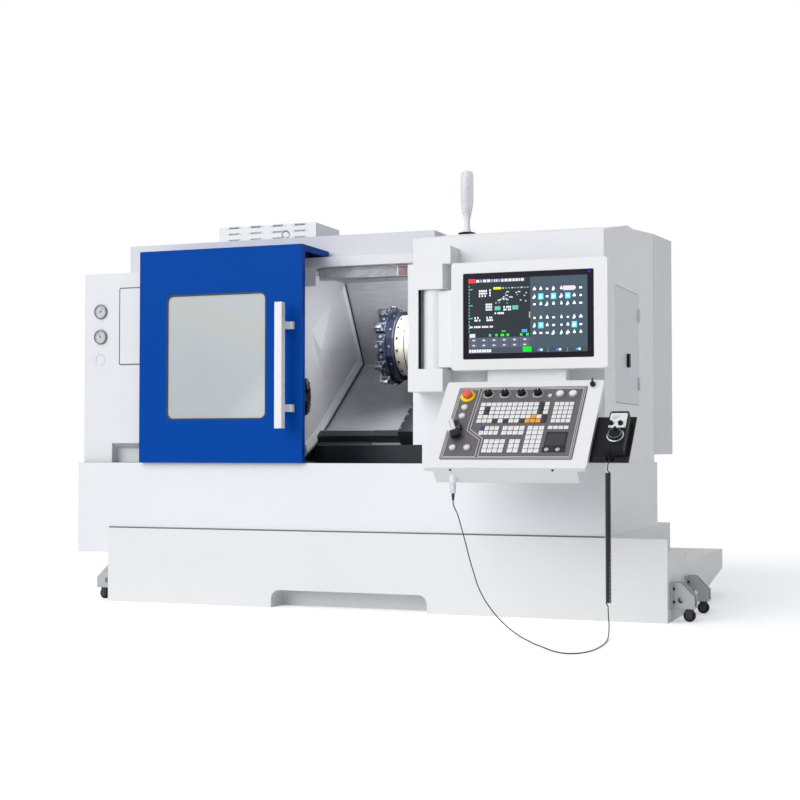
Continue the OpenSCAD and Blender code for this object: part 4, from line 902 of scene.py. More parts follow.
    def gauges(self):
        wear(finish("gauge_bright", (0.22, 0.225, 0.24), 0.24, "turned", 300.0, Metallic=1.0, edge_r=0.001),
             "pressure_gauges")
        plate = moulded("gauge_plate", WHITE, 0.3, 800.0, 0.0004, tinted=True)
        places = [facing(-1.425, -0.6951, z, FRONT) for z in GAUGE_Z]
        dials, tick = Shape(), Shape()
        for at, lean in zip(places, (-0.7, 0.5)):
            dials.lathe(((0, 0.0003), (0.0287, 0.0003), (0.0287, -0.0006), (0, -0.0006)), (0.6, 0.61, 0.63, 1),
                        at=at, sides=40)
            dials.lathe(((0, 0.002), (0.003, 0.002), (0.0036, 0.0003), (0, 0.0003)), BLACK, at=at, sides=16)
            dials.outline(((-0.0012, -0.006), (0.0012, -0.006), (0.0004, 0.0225), (-0.0004, 0.0225)), 0.0008, 0.0014,
                          BLACK, at=at @ Matrix.Rotation(lean, 4, "Z"))
        tick.box((-0.0005, -0.0022, 0.0003), (0.0005, 0.0022, 0.0007), BLACK)
        ticks = repeated("Round", tick, plate, at_each(places), Count=21, Radius=0.0243, Start=-2.3, Step=0.23)
        piece("gauge_dials", "machine", "gauge_metal", dials.mesh(plate), *ticks)

    def axle_caps(self):
        steel = finish("axle_dark", (0.05, 0.05, 0.052), 0.35, "turned", 300.0, Metallic=0.7, edge_r=0.001)
        caps = Shape()
        for sx, y in LUGS:
            for side in (-1, 1):
                caps.lathe(((0, 0.0032), (0.0052, 0.0032), (0.0074, 0.0016), (0.0074, -0.0004), (0, -0.0004)),
                           at=facing(sx * 1.419, y + side * 0.0185, 0.026, (0, side, 0)), sides=20)
        piece("axle_caps", "machine", "lug_paint", caps.mesh(steel))


class LATHE_OT_door(PieceOperator, bpy.types.Operator):
    """Finishes the sliding door and adds the rubber edge of its window and a stop screw"""

    bl_idname = "lathe.door"
    bl_label = "Sliding door"

    def execute(self, context):
        c, s = context.scene.lathe_finishes, context.scene.lathe_sizes
        wear(finish("door_blue", c.door_blue, 0.38, edge=0.16, edge_r=s.edge_round, Specular_IOR_Level=0.04),
             "door_panel")
        wear(pane_finish(), "door_window")
        wear(finish("handle_white", (0.85, 0.86, 0.88), 0.3, edge_r=0.002), "door_handle")
        rubber = moulded("gasket_rubber", (0.03, 0.035, 0.05), 0.5)
        g = s.gasket_r * 0.6
        path = rectangle(-1.023 + g, -0.502 - g, -0.7525, 0.8643 + g, 1.4533 - g)
        piece("window_gasket", "door", "black_plastic", bead(path, s.gasket_r, 0.03, rubber))
        stop = Shape()
        stop.screw(0.0075, 0.004, facing(-0.32, -0.738, 0.709, RIGHT), sides=20)
        piece("door_screw", "door", "black_plastic", stop.mesh(black_plastic()))
        return {"FINISHED"}


class LATHE_OT_chamber(PieceOperator, bpy.types.Operator):
    """Finishes the machining chamber, the drive behind it and the work light"""

    bl_idname = "lathe.chamber"
    bl_label = "Machining chamber"

    def execute(self, context):
        c = context.scene.lathe_finishes
        wear(finish("chuck_wall_grey", c.chamber_light, 0.42, edge_r=0.004, edge=0.3), "chuck_wall")
        wear(finish("chamber_sheet", c.chamber_dark, 0.34, "brushed", 14.0, tone=0.3, relief=0.02), "chamber_back")
        wear(finish("tray_navy", (0.01, 0.013, 0.028), 0.4, tone=0.3), "chip_tray")
        wear(finish("bed_iron", (0.035, 0.038, 0.048), 0.45, "casting", 160.0, 0.2, 0.15, 0.4), "slant_bed")
        wear(finish("saddle_dark", (0.022, 0.026, 0.04), 0.45, "casting", 160.0, 0.25, 0.12), "saddle")
        wear(finish("headstock_blue", (0.35, 0.42, 0.5), 0.5, "casting", 130.0, 0.12, 0.2), "headstock")
        wear(finish("motor_grey", (0.09, 0.105, 0.11), 0.5, "casting", 150.0, 0.15, 0.2), "spindle_motor")
        wear(finish("belt_rubber", (0.02, 0.02, 0.02), 0.6, "moulded", 300.0, relief=0.3), "drive_belt")
        wear(finish("pulley_iron", (0.16, 0.16, 0.17), 0.4, "turned", 120.0, Metallic=0.9), "motor_pulley")
        wear(finish("ground_steel", (0.5, 0.51, 0.53), 0.28, "turned", 200.0, 0.1, Metallic=1.0), "spindle")
        wear(finish("chuck_oxide", (0.035, 0.036, 0.042), 0.3, "turned", 200.0, 0.15, edge=0.4, Metallic=0.6),
             "chuck_body")
        wear(finish("jaw_oxide", (0.06, 0.062, 0.07), 0.34, "brushed", 220.0, 0.15, edge=0.5, Metallic=0.7),
             *("chuck_jaw_%d" % k for k in range(1, 4)))
        for part in (self.light, self.wall_screws, self.wall_rim, self.sill, self.saddle_guard):
            part()
        return {"FINISHED"}

    def light(self):
        wear(finish("light_alu", (0.66, 0.67, 0.69), 0.32, "brushed", 200.0, tone=0.12, Metallic=0.9), "work_light")
        lens = finish("light_lens", WHITE, 0.25, "moulded", 60.0, tone=0.22, tinted=True, edge=0.2, edge_r=0.002)
        strip = Shape()
        for x0, x1, tint in ((-0.356, 0.038, (0.62, 0.63, 0.66, 1)), (0.042, 0.088, (0.46, 0.26, 0.28, 1))):
            strip.box((x0, -0.4716, 1.537), (x1, -0.4695, 1.5815), tint, 0.0009)
        piece("light_lens", "machine", "light_alu", strip.mesh(lens))

    def wall_screws(self):
        head = Shape()
        head.screw(0.006, 0.005, sides=20)
        ring = repeated("Round", head, black_screw(), at=facing(-0.46, *SPINDLE, RIGHT), Count=6, Radius=0.122,
                        Start=0.26, Step=math.pi / 3)
        piece("wall_screws", "machine", "cast_iron", *ring)

    def wall_rim(self):
        """Bright band of painted highlight and dark seal along the folded edge of the chuck wall."""
        corners = [Vector(v) for v in ((0.0637, 1.574), (0.3187, 1.1715), (-0.2845, 0.7511), (-0.4, 0.698))]
        front = -0.4492
        # Painted highlight: a near-white band along the folded edge, where the fold catches the light.
        white = finish("rim_white", (0.93, 0.94, 0.96), 0.4, edge_r=0.001)
        band = Shape()
        band.outline([*beside(corners, 0.02), *reversed(beside(corners, 0.052))], -0.4501, front, at=ACROSS)
        seal = moulded("seal_black", (0.025, 0.027, 0.032), 0.5, 500.0)
        path = [(front, v.x, v.y) for v in beside(corners, 0.006)]
        edge = bead(path, 0.0045, 0.006, seal, closed=False)
        piece("wall_rim", "machine", "chamber_light", band.mesh(white), edge)

    def sill(self):
        """Dark sill that runs on from the lower rail to the chuck wall, with a painted highlight along its edge, and
        its screws.
        """
        strip = Shape()
        for y0, z0, y1, z1, tint, soft in (
            (0.0476, -0.2978, 0.0924, -0.2572, (0.028, 0.031, 0.04, 1), 0.0012),
            # Painted highlight: a thin pale strip along the sill's edge.
            (0.088, -0.2573, 0.0926, -0.256, (0.3, 0.31, 0.33, 1), 0.0004),
            (0.031, -0.2978, 0.047, -0.2925, (0.1, 0.105, 0.12, 1), 0.001),
        ):
            strip.box((-0.4485, y0, z0), (-0.1655, y1, z1), tint, soft, SLANT)
        for k in range(5):
            strip.screw(0.0042, 0.0026, SLANT @ shift(-0.42 + 0.058 * k, 0.068, -0.2572), (0.05, 0.05, 0.055, 1), 16)
        piece("guard_sill", "machine", "cast_iron", strip.mesh(guard_finish("sill_parts")))

    def saddle_guard(self):
        """Dark way guard screwed to the chuck end of the saddle, over the lower rail, with painted shade on its front
        lip and a painted highlight along its left edge.
        """
        plate = Shape()
        for lo, hi, tint, soft in (
            ((-0.012, 0.026, -0.25), (0.0838, 0.73, -0.216), (0.028, 0.031, 0.042, 1), 0.0015),
            # Painted shade: the front lip a little darker than the top.
            ((-0.012, 0.02, -0.2915), (0.0838, 0.0262, -0.216), (0.022, 0.025, 0.034, 1), 0.0012),
            # Painted highlight: a thin paler strip along the left edge.
            ((-0.0135, 0.04, -0.244), (-0.0118, 0.72, -0.222), (0.1, 0.11, 0.13, 1), 0.0005),
        ):
            plate.box(lo, hi, tint, soft, SLANT)
        for k in range(12):
            plate.screw(0.0055, 0.0055, SLANT @ shift(-0.003, 0.045 + 0.06 * k, -0.216), (0.34, 0.35, 0.38, 1))
        piece("saddle_guard", "carriage", "cast_iron", plate.mesh(guard_finish("guard_parts")))


class LATHE_OT_turret(PieceOperator, bpy.types.Operator):
    """Finishes the turret and adds its tools, screws and cutting tips"""

    bl_idname = "lathe.turret"
    bl_label = "Tool turret"

    def execute(self, context):
        c = context.scene.lathe_finishes
        navy = c.turret_navy
        wear(finish("turret_navy", navy, 0.36, "turned", 160.0, 0.2, Metallic=0.55, edge=0.35), "turret_disc")
        wear(finish("holder_navy", [v * 1.3 for v in navy], 0.34, "brushed", 180.0, 0.2, Metallic=0.55, edge=0.4),
             "tool_holders")
        wear(finish("housing_cream", c.housing_cream, 0.42, "casting", 150.0, 0.08, 0.1), "turret_housing")
        self.tools()
        self.screws()
        self.housing_fittings()
        return {"FINISHED"}

    def stations(self, shape, mat, *starts, count=4):
        """Repeats a shape evenly round the turret from each start in degrees."""
        return repeated("Round", shape, mat, [{"Start": math.radians(start)} for start in starts], at=STATION,
                        Count=count, Radius=0.0, Step=CIRCLE / count)

    def tools(self):
        steel = finish("tool_shank", (0.52, 0.53, 0.56), 0.3, "brushed", 260.0, Metallic=1.0, edge_r=0.001)
        tip = finish("carbide_tip", (0.62, 0.48, 0.2), 0.3, "moulded", 900.0, Metallic=0.9, edge_r=0.0005)
        shank, carbide, bar, wedge = Shape(), Shape(), Shape(), Shape()
        shank.box((-0.0102, 0.1095, -0.1573), (0.0102, 0.2052, -0.1145), soft=0.0008)
        carbide.outline(((-0.0106, 0.19), (-0.0016, 0.196), (-0.0046, 0.2054), (-0.0112, 0.2054)), -0.1577, -0.1538)
        middle = shift(0, 0.147, 0)
        bar.lathe(((0, -0.1572), (0.0118, -0.1572), (0.0152, -0.1545), (0.0152, -0.1285), (0, -0.1285)),
                  at=middle, sides=28)
        bar.lathe(((0, -0.1576), (0.006, -0.1576), (0.006, -0.157), (0, -0.157)), at=middle, sides=20)
        wedge.box((0.0236, 0.1745, -0.15), (0.0284, 0.1885, -0.0975), soft=0.0008)
        piece("turret_tools", "turret", "bright_steel", *self.stations(shank, steel, 0, 30),
              *self.stations(carbide, tip, 0, 30), *self.stations(bar, steel, 60),
              *self.stations(wedge, steel, 0, count=12))

    def screws(self):
        bright = finish("screw_bright", (0.34, 0.35, 0.38), 0.3, "turned", 400.0, Metallic=1.0, edge_r=0.0006)
        radial, boring, rim, hub = Shape(), Shape(), Shape(), Shape()
        for z in (-0.13, -0.109):
            for x in (0.0166, -0.0166):
                radial.screw(0.0064, 0.0055, facing(x, 0.19, z, OUTWARDS))
        for y in (0.124, 0.172):
            radial.screw(0.005, 0.004, facing(0.0166, y, -0.143, OFF_FACE))
        for x in (-0.0145, 0.0145):
            boring.screw(0.006, 0.0055, facing(x, 0.19, -0.113, OUTWARDS))
            for y in (0.116, 0.178):
                boring.screw(0.0046, 0.004, facing(x, y, -0.129, OFF_FACE))
        rim.screw(0.0062, 0.003, facing(0, 0.1681, -0.079, OUTWARDS))
        lean = turned(15, "Z")
        rim.screw(0.0075, 0.006, lean @ facing(0, 0.187, -0.116, OUTWARDS))
        rim.screw(0.005, 0.004, lean @ facing(0, 0.171, -0.135, OFF_FACE))
        hub.screw(0.007, 0.004, facing(0, 0.05, -0.121, OFF_FACE))
        piece("turret_screws", "turret", "tool_steel", *self.stations(radial, bright, 0, 30),
              *self.stations(boring, bright, 60), *self.stations(rim, bright, 0, count=12),
              *self.stations(hub, bright, 0, count=6))

    def housing_fittings(self):
        """Black screws and the dark joint round the cream housing."""
        black = black_screw()
        joint, screw, cluster = Shape(), Shape(), Shape()
        joint.lathe(((0.1502, -0.0125), (0.1508, -0.012), (0.1508, -0.0085), (0.1502, -0.008), (0.149, -0.008),
                     (0.149, -0.0125), (0.1502, -0.0125)), at=STATION, sides=96)
        for z in (-0.045, 0.022):
            screw.screw(0.0058, 0.0042, facing(0, 0.1497, z, OUTWARDS), sides=16)
        for x in (-0.016, 0.016):
            for z in (0.05, 0.078):
                cluster.screw(0.0062, 0.005, facing(x, 0.1488, z, OUTWARDS), sides=16)
        piece("housing_screws", "cross_slide", "black_plastic", joint.mesh(black),
              *self.stations(screw, black, 0, count=16), *self.stations(cluster, black, 75))


class LATHE_OT_monitor(PieceOperator, bpy.types.Operator):
    """Finishes the pendant's arm and monitor and lights the fields of its screen"""

    bl_idname = "lathe.monitor"
    bl_label = "Monitor"

    def execute(self, context):
        edge = context.scene.lathe_sizes.edge_round
        wear(finish("pendant_white", (0.84, 0.845, 0.86), 0.4, edge_r=edge), "pendant_bracket", "pendant_arm",
             "monitor_housing", "keyboard_housing")
        wear(finish("screen_bezel", (0.012, 0.008, 0.018), 0.12, "moulded", 900.0, edge=0.05, edge_r=0.001,
                    Specular_IOR_Level=0.12), "screen")
        lit = display_finish()
        # Frame of the lit area: x to the right, y up, z to the operator; fields go by shares of its width and height
        at = shift(SCREEN_X[0], SCREEN_Y, SCREEN_Z[1]) @ turned(90, "X")
        w, h = SCREEN_X[1] - SCREEN_X[0], SCREEN_Z[1] - SCREEN_Z[0]
        fields, tile, lamp = Shape(), Shape(), Shape()

        def field(u0, u1, v0, v1, tint, level=1):
            fields.box((u0 * w, -v1 * h, 0.0), (u1 * w, -v0 * h, 0.00005 * level), (*tint, 1), at=at)

        field(0, 0.528, 0, 1, (0.022, 0.026, 0.034))
        field(0.535, 1, 0, 1, (0.05, 0.075, 0.098))
        field(0.528, 0.535, 0, 1, (0.07, 0.09, 0.11))
        field(0, 0.528, 0.785, 0.93, (0.055, 0.065, 0.09), 2)
        field(0, 0.528, 0.93, 1, (0.05, 0.065, 0.085), 2)
        self.left_fields(field)
        self.foot_fields(field)
        self.right_fields(field)
        tile.box((-0.009, -0.0075, 0.0), (0.009, 0.0075, 0.00012), (0.03, 0.045, 0.06, 1))
        places = [at @ shift(u * w, -v * h, 0) for u in ICON_U for v in ICON_V]
        tiles = repeated("Field", tile, lit, at_each(places), Columns=4, Rows=3, Step_X=ICON_DU * w,
                         Step_Y=-ICON_DV * h)
        piece("screen_fields", "pendant", "screen_glass", fields.mesh(lit), *tiles)
        lamp.lathe(((0, 0.0006), (0.0035, 0.0006), (0.0045, 0), (0, 0)), (0.01, 0.03, 0.9, 1),
                   at=facing(1.066, SCREEN_Y, 1.4615, FRONT), sides=16)
        piece("power_lamp", "pendant", "screen_glass", lamp.mesh(lit))
        return {"FINISHED"}

    def left_fields(self, field):
        """Program side: title, rows of values, lamps and soft keys."""
        pale, teal, green, blue = (0.55, 0.6, 0.65), (0.1, 0.42, 0.36), (0.03, 0.62, 0.06), (0.06, 0.32, 0.8)
        field(0, 0.06, 0, 0.055, (0.78, 0.04, 0.06), 3)
        rng = random.Random(5)
        u = 0.066
        while u < 0.45:
            step = rng.choice((0.012, 0.02, 0.028))
            field(u, u + step, 0.012, 0.05, pale if rng.random() < 0.75 else (0.25, 0.3, 0.36), 3)
            u += step + 0.006
        field(0.215, 0.28, 0.12, 0.15, (0.85, 0.72, 0.02), 3)
        for k in range(9):
            field(0.29 + k * 0.026, 0.305 + k * 0.026, 0.128, 0.143, teal if k % 3 else pale, 3)
        for k in range(15):
            v = 0.09 + k * 0.043
            field(0.002, 0.01, v, v + 0.022, green if k in (0, 2) else teal, 3)
            if k in (1, 6, 10):
                field(0.014, 0.036, v, v + 0.014, teal, 3)
        for u0, u1, v0, rows in (
            (0.09, 0.165, 0.152, 3), (0.18, 0.197, 0.145, 3), (0.148, 0.205, 0.335, 3), (0.052, 0.105, 0.51, 2),
            (0.155, 0.208, 0.51, 2), (0.225, 0.3, 0.455, 1), (0.3, 0.37, 0.375, 2), (0.01, 0.205, 0.632, 1),
        ):
            for row in range(rows):
                u, v = u0, v0 + row * 0.034
                while u < u1 - 0.006:
                    field(u, u + 0.011, v, v + 0.025, (0.72, 0.76, 0.82), 3)
                    u += rng.choice((0.0145, 0.0145, 0.024))
        for u0, u1, v0, v1, tint in (
            (0.225, 0.275, 0.375, 0.428, teal), (0.375, 0.425, 0.37, 0.425, teal), (0.01, 0.058, 0.735, 0.785, pale),
            (0.455, 0.5, 0.69, 0.73, blue), (0.515, 0.526, 0.46, 0.54, (0.4, 0.36, 0.2)),
            (0.285, 0.318, 0.7, 0.716, green), (0.465, 0.535, 0.925, 0.985, (0.0, 0.85, 0.01)),
        ):
            field(u0, u1, v0, v1, tint, 4)
        for u, wide in ((0.175, 0.02), (0.23, 0.02), (0.275, 0.03), (0.325, 0.022), (0.44, 0.02), (0.492, 0.022)):
            field(u, u + wide, 0.742, 0.775, green, 3)
        for _ in range(22):
            u, v = rng.uniform(0.22, 0.5), rng.uniform(0.17, 0.33)
            field(u, u + rng.choice((0.012, 0.022)), v, v + 0.014, rng.choice((pale, pale, teal)), 3)
        for i in range(6):
            for j in range(2):
                u, v = 0.004 + i * 0.087, 0.792 + j * 0.069
                field(u, u + 0.081, v, v + 0.062, (0.085, 0.1, 0.135), 3)
                field(u + 0.03, u + 0.052, v + 0.022, v + 0.04, pale, 4)
        for k in range(9):
            field(0.006 + k * 0.0215, 0.022 + k * 0.0215, 0.945, 0.985, (0.72, 0.76, 0.8), 3)

    def foot_fields(self, field):
        """Bar of tabs below the icons."""
        top = 0.94
        field(0.535, 1, top, 1, (0.042, 0.062, 0.082), 2)
        for u in (0.6, 0.755, 0.915):
            field(u - 0.012, u + 0.006, top + 0.015, top + 0.04, (0.05, 0.25, 0.7), 3)
            field(u + 0.01, u + 0.028, top + 0.012, top + 0.042, (0.7, 0.75, 0.8), 3)
        for u in (0.672, 0.834):
            field(u, u + 0.003, top, 1, (0.3, 0.36, 0.4), 3)

    def right_fields(self, field):
        """Groups of icons, a few of them lit."""
        rng = random.Random(11)
        lit = {(1, 1), (1, 3), (1, 5), (4, 1), (4, 6)}
        shapes = ((-0.01, 0.01, -0.01, 0.012), (-0.004, 0.004, -0.024, -0.004), (-0.013, 0.002, 0.004, 0.022))
        for row in range(6):
            for col in range(8):
                u = ICON_U[col // 4] + (col % 4) * ICON_DU
                v = ICON_V[row // 3] + (row % 3) * ICON_DV
                if (row, col) in lit:
                    field(u - 0.022, u + 0.022, v - 0.04, v + 0.04, (0.08, 0.62, 0.78), 4)
                for a, b, c, d in shapes[:rng.choice((1, 2, 3))]:
                    s = rng.uniform(0.95, 1.4)
                    field(u + a * s, u + b * s, v + c * 1.25, v + d * 1.25, (0.74, 0.8, 0.88), 5)
        field(0.8, 0.895, 0.135, 0.195, (0.62, 0.52, 0.6), 6)


class LATHE_OT_keyboard(PieceOperator, bpy.types.Operator):
    """Makes the key caps, printed lines, marks and small switches of the operator panel"""

    bl_idname = "lathe.keyboard"
    bl_label = "Operator panel"

    def execute(self, context):
        c, s = context.scene.lathe_finishes, context.scene.lathe_sizes
        wear(finish("overlay_film", c.overlay_grey, 0.45, "moulded", 1200.0, 0.08, 0.08, 0.1, 0.001), "key_panel")
        wear(finish("estop_red", (0.86, 0.1, 0.055), 0.25, "moulded", 700.0, edge=0.15, edge_r=0.002, Coat_Weight=0.3),
             "estop_button")
        wear(finish("button_white", (0.82, 0.82, 0.82), 0.22, "moulded", 700.0, edge=0.1, edge_r=0.001), "start_button",
             "stop_button")
        wear(black_plastic(), *("override_knob_%d" % k for k in range(1, 5)))
        self.caps()
        self.print_lines(s.print_w / 2)
        self.switches()
        self.knob_marks()
        return {"FINISHED"}

    def caps(self):
        mat = key_cap_finish()
        parts = []
        for field_no, (x, b, cols, rows, dx, db, w, h) in enumerate(KEY_FIELDS):
            cap = Shape()
            # A cap is 1 mm larger than the embossed key that it covers
            half_w, half_h = (w + 1) / 2000, (h + 1) / 2000
            cap.box((-half_w, -half_h, 0.0031), (half_w, half_h, 0.0068), soft=0.0007)
            data, = repeated("Field", cap, mat, Columns=cols, Rows=rows, Step_X=dx / 1000, Step_Y=-db / 1000)
            tint = data.attributes["tint"].data
            for face in data.polygons:
                key = round(face.center.x / (dx / 1000)), round(-face.center.y / (db / 1000))
                if (field_no, *key) in CAP_TINTS:
                    for k in face.loop_indices:
                        tint[k].color = CAP_TINTS[(field_no, *key)]
            data.transform(KEYBOARD @ shift((x + w / 2) / 1000, -(b + h / 2) / 1000, 0))
            parts.append(data)
        piece("key_caps", "pendant", "button_white", *parts)

    def print_lines(self, r):
        """Frames printed on the panel, in millimetres from its left and top edges."""
        frames = (
            ((68, 44), (612, 44), (612, 439), (68, 439)),
            ((75, 51), (154, 51), (148, 286), (213, 338), (213, 432), (75, 432)),
            ((166, 51), (605, 51), (605, 432), (225, 432), (225, 331), (160, 280)),
        )
        paths = [[(x / 1000, -b / 1000, 0.0031) for x, b in points] for points in frames]
        piece("panel_print", "pendant", "button_white",
              *(bead(path, r, 0.004, print_white(), at=KEYBOARD) for path in paths))

    def switches(self):
        mat = finish("switch_parts", WHITE, 0.32, "moulded", 800.0, tinted=True, edge=0.08, edge_r=0.0012,
                     Specular_IOR_Level=0.25)
        parts = Shape()

        def cap(x, b, profile, tint, sides=28):
            """Turned part at a place of the panel, in millimetres."""
            spot = KEYBOARD @ shift(x / 1000, -b / 1000, 0)
            parts.lathe([(r / 1000, z / 1000) for r, z in profile], tint, spot, sides)

        yellow, pale, grey = (0.92, 0.74, 0.01, 1), (0.8, 0.8, 0.8, 1), (0.42, 0.42, 0.44, 1)
        film, slate = (0.022, 0.022, 0.026, 1), (0.05, 0.05, 0.058, 1)
        cap(110, 91, ((14, 8.3), (31, 8.3), (32.4, 7.4), (32.4, 3.1), (14, 3.1), (14, 8.3)), yellow, 40)
        for x in (510, 565):
            cap(x, 86, ((15.6, 11.3), (17.5, 11.5), (19.4, 10.2), (19.4, 3.1), (15.6, 3.1), (15.6, 11.3)), grey, 36)
        buttons = ((110, 157, 13, 11), (110, 207, 13, 11), (108, 385, 13, 11), (170, 385, 13, 11), (469, 95, 8, 10))
        for x, b, r, top in buttons:
            cap(x, b, ((0, top + 1.2), (r - 3, top + 1.0), (r - 1.5, top + 0.4), (r + 0.4, top + 0.3), (r + 0.4, 3.1),
                       (0, 3.1)), pale)
            cap(x, b, ((r - 3.4, top + 1.3), (r - 2.4, top + 1.3), (r - 2.4, top + 0.4), (r - 3.4, top + 0.4),
                       (r - 3.4, top + 1.3)), grey)
        for x in (506, 552):
            cap(x, 394, ((0, 6.6), (8, 6.4), (9.4, 5.6), (9.4, 3.1), (0, 3.1)), (0.5, 0.5, 0.52, 1))
        cap(108, 276, ((0, 13.2), (16, 13.2), (17.4, 12), (17.4, 3.1), (0, 3.1)), BLACK)
        lever = KEYBOARD @ shift(0.108, -0.276, 0.011) @ turned(14, "Z")
        paddle = lever @ turned(12, "Z")
        for lo, hi, tint, soft, at, steps in (
            ((-0.0113, -0.0644, 0.0002), (0.0113, -0.0165, 0.0223), BLACK, 0.004, lever, 4),
            ((-0.0113, -0.0165, 0.0002), (0.0113, 0.0244, 0.0225), BLACK, 0.004, lever, 4),
            ((-0.04, -0.066, 0.006), (0.004, -0.03, 0.031), BLACK, 0.007, paddle, 5),
            ((-0.043, -0.031, 0.009), (-0.009, 0.036, 0.03), (0.8, 0.8, 0.85, 1), 0.005, paddle, 4),
            ((-0.0275, -0.024, 0.0299), (-0.0245, 0.024, 0.0304), (0.45, 0.45, 0.5, 1), 0, paddle, 2),
            ((0.4905, -0.3785, 0.0028), (0.5795, -0.2975, 0.0052), film, 0.0006, KEYBOARD, 2),
            ((0.4975, -0.37, 0.005), (0.5725, -0.308, 0.0054), slate, 0, KEYBOARD, 2),
            ((0.486, -0.409, 0.003), (0.584, -0.378, 0.0034), film, 0, KEYBOARD, 2),
            ((0.6345, -0.046, 0.008), (0.6395, -0.012, 0.026), BLACK, 0.001, KEYBOARD, 2),
        ):
            parts.box(lo, hi, tint, soft, at, steps)
        parts.lathe(((0, 0.014), (0.008, 0.014), (0.011, 0.011), (0.011, -0.0002), (0, -0.0002)), BLACK,
                    KEYBOARD @ shift(0.637, -0.03, 0), 24)
        for x in (0.118, 0.545):
            parts.screw(0.005, 0.003, KEYBOARD @ facing(x, -0.49, -0.012, FRONT), (0.03, 0.03, 0.03, 1))
        piece("panel_switches", "pendant", "black_plastic", parts.mesh(mat))

    def knob_marks(self):
        """Scales round the override knobs, and on each knob its pointer and rim."""
        mat = print_white()
        tick = Shape()
        tick.box((-0.0007, -0.002, 0.0029), (0.0007, 0.002, 0.0033))
        piece("knob_scales", "pendant", "button_white", *repeated(
            "Round", tick, mat, at_each(KNOB_PLACES), Count=19, Radius=0.0242, Start=-2.35, Step=0.26))
        for i, at in enumerate(KNOB_PLACES, 1):
            pointer = Shape()
            pointer.box((-0.0012, 0.001, 0.0273), (0.0012, 0.0118, 0.02755), at=at)
            pointer.lathe(((0.018, 0.0082), (0.0201, 0.0078), (0.0203, 0.0034), (0.0205, 0.0034), (0.0205, 0.0081),
                           (0.018, 0.0087), (0.018, 0.0082)), at=at)
            piece("knob_pointer_%d" % i, "knob_%d" % i, "button_white", pointer.mesh(mat))


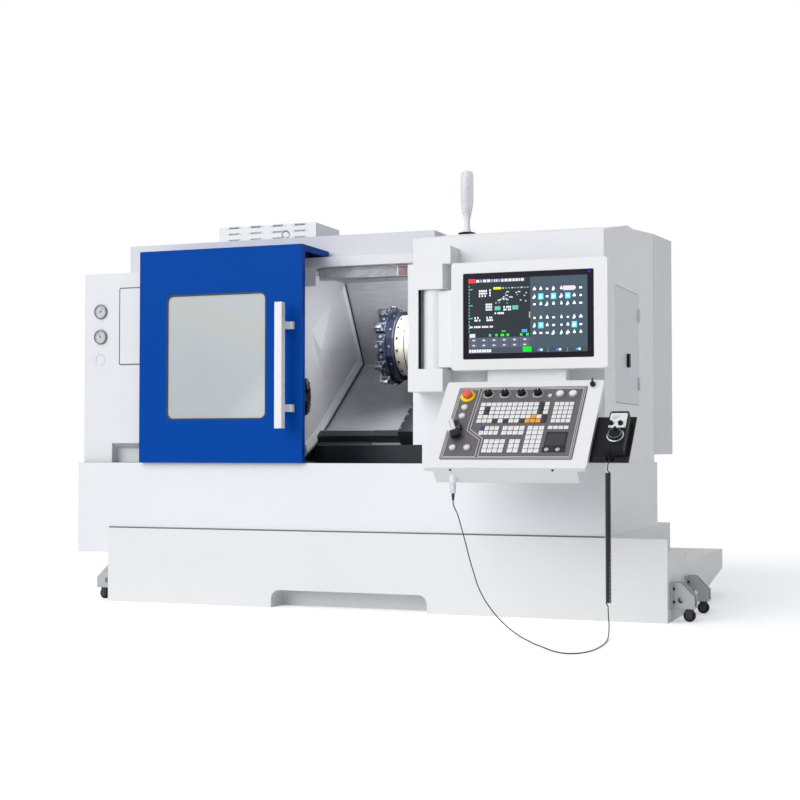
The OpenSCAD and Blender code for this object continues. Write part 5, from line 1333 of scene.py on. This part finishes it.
class LATHE_OT_handset(PieceOperator, bpy.types.Operator):
    """Finishes the hand-wheel handset and its holder and adds the marks of its dial"""

    bl_idname = "lathe.handset"
    bl_label = "Hand-wheel handset"

    def execute(self, context):
        wear(black_plastic(), "mpg_handset", "mpg_dial", "mpg_axis_knob", "mpg_step_knob")
        wear(finish("holder_black", (0.016, 0.016, 0.018), 0.5, grain=500.0, relief=0.15, edge=0.08,
                    Specular_IOR_Level=0.1), "mpg_holder")
        self.face()
        self.dial(context.scene.lathe_sizes.dial_marks)
        return {"FINISHED"}

    def face(self):
        """Pale plate with its screws, printed lines and the marks of the two selectors."""
        plate = finish("handset_plate", WHITE, 0.35, "moulded", 900.0, tinted=True, edge=0.05, edge_r=0.0008)
        face, tick = Shape(), Shape()
        face.box((0.7475, -0.2995, 0.029), (0.8165, -0.2205, 0.0304), (0.8, 0.81, 0.82, 1), 0.0005, KEYBOARD)
        for x, y in ((0.747, -0.3), (0.817, -0.3), (0.817, -0.22), (0.747, -0.22)):
            spot = shift(HANDSET_X + (x - HANDSET_X) * 0.88, HANDSET_Y + (y - HANDSET_Y) * 0.88, 0.0304)
            face.screw(0.0018, 0.0012, KEYBOARD @ spot, (0.2, 0.2, 0.2, 1), 12)
        for k in range(3):
            face.box((0.756, -0.2385 - 0.007 * k, 0.0303), (0.776 + 0.006 * (2 - k), -0.236 - 0.007 * k, 0.0306),
                     (0.3, 0.3, 0.32, 1), at=KEYBOARD)
        tick.box((-0.0006, -0.0024, 0.0302), (0.0006, 0.0024, 0.0306), (0.05, 0.05, 0.05, 1))
        ticks = repeated("Round", tick, plate, at_each(SELECTORS), Count=5, Radius=0.0138, Start=-1.0, Step=0.5)
        piece("handset_face", "pendant", "button_white", face.mesh(plate), *ticks)

    def dial(self, marks):
        """Marks and silver rim of the hand wheel, and the pointers of the selectors."""
        white = print_white()
        silver = finish("dial_silver", (0.55, 0.56, 0.58), 0.3, "turned", 300.0, Metallic=1.0, edge_r=0.0005)
        at = KEYBOARD @ shift(HANDSET_X, -0.342, 0.0283)
        rim, tick = Shape(), Shape()
        rim.lathe(((0.0303, 0.0042), (0.0342, 0.0033), (0.0342, 0.0), (0.0345, 0.0), (0.0345, 0.0036), (0.0303, 0.0047),
                   (0.0303, 0.0042)), at=at, sides=48)
        tick.box((-0.0004, -0.0012, 0.0168), (0.0004, 0.0012, 0.0172))
        ticks = repeated("Round", tick, white, at=at, Count=marks, Radius=0.0255, Start=0.0, Step=CIRCLE / marks)
        piece("dial_marks", "mpg_dial", "button_white", rim.mesh(silver), *ticks)
        for name, body, spot in zip(("axis_pointer", "step_pointer"), ("mpg_axis", "mpg_step"), SELECTORS):
            mark = Shape()
            mark.box((-0.0007, 0.002, 0.0453), (0.0007, 0.0085, 0.0456), at=spot)
            piece(name, body, "button_white", mark.mesh(white))


SETTINGS = {"lathe_finishes": LatheFinishes, "lathe_sizes": LatheSizes, "lathe_stage": StageLooks}
OPERATORS = (LATHE_OT_stage, LATHE_OT_cord, LATHE_OT_covers, LATHE_OT_door, LATHE_OT_chamber, LATHE_OT_turret,
             LATHE_OT_monitor, LATHE_OT_keyboard, LATHE_OT_handset)


class LATHE_PT_panel(bpy.types.Panel):
    """Lists the settings and the steps that dress the lathe"""

    bl_label = "Turning Lathe"
    bl_idname = "LATHE_PT_panel"
    bl_space_type = "VIEW_3D"
    bl_region_type = "UI"
    bl_category = "Lathe"

    def draw(self, context):
        for group in SETTINGS:
            settings = getattr(context.scene, group)
            for name in settings.bl_rna.properties.keys():
                if name not in ("rna_type", "name"):
                    self.layout.prop(settings, name)
        for op in OPERATORS:
            self.layout.operator(op.bl_idname)


CLASSES = (*SETTINGS.values(), *OPERATORS, LATHE_PT_panel)


def register():
    for cls in CLASSES:
        bpy.utils.register_class(cls)
    for name, group in SETTINGS.items():
        setattr(bpy.types.Scene, name, PointerProperty(type=group))


def unregister():
    for name in SETTINGS:
        delattr(bpy.types.Scene, name)
    for cls in reversed(CLASSES):
        bpy.utils.unregister_class(cls)


def main():
    register()
    bpy.ops.lathe.stage()
    bpy.ops.lathe.cord()
    bpy.ops.lathe.covers()
    bpy.ops.lathe.door()
    bpy.ops.lathe.chamber()
    bpy.ops.lathe.turret()
    bpy.ops.lathe.monitor()
    bpy.ops.lathe.keyboard()
    bpy.ops.lathe.handset()


if __name__ == "__main__":
    main()
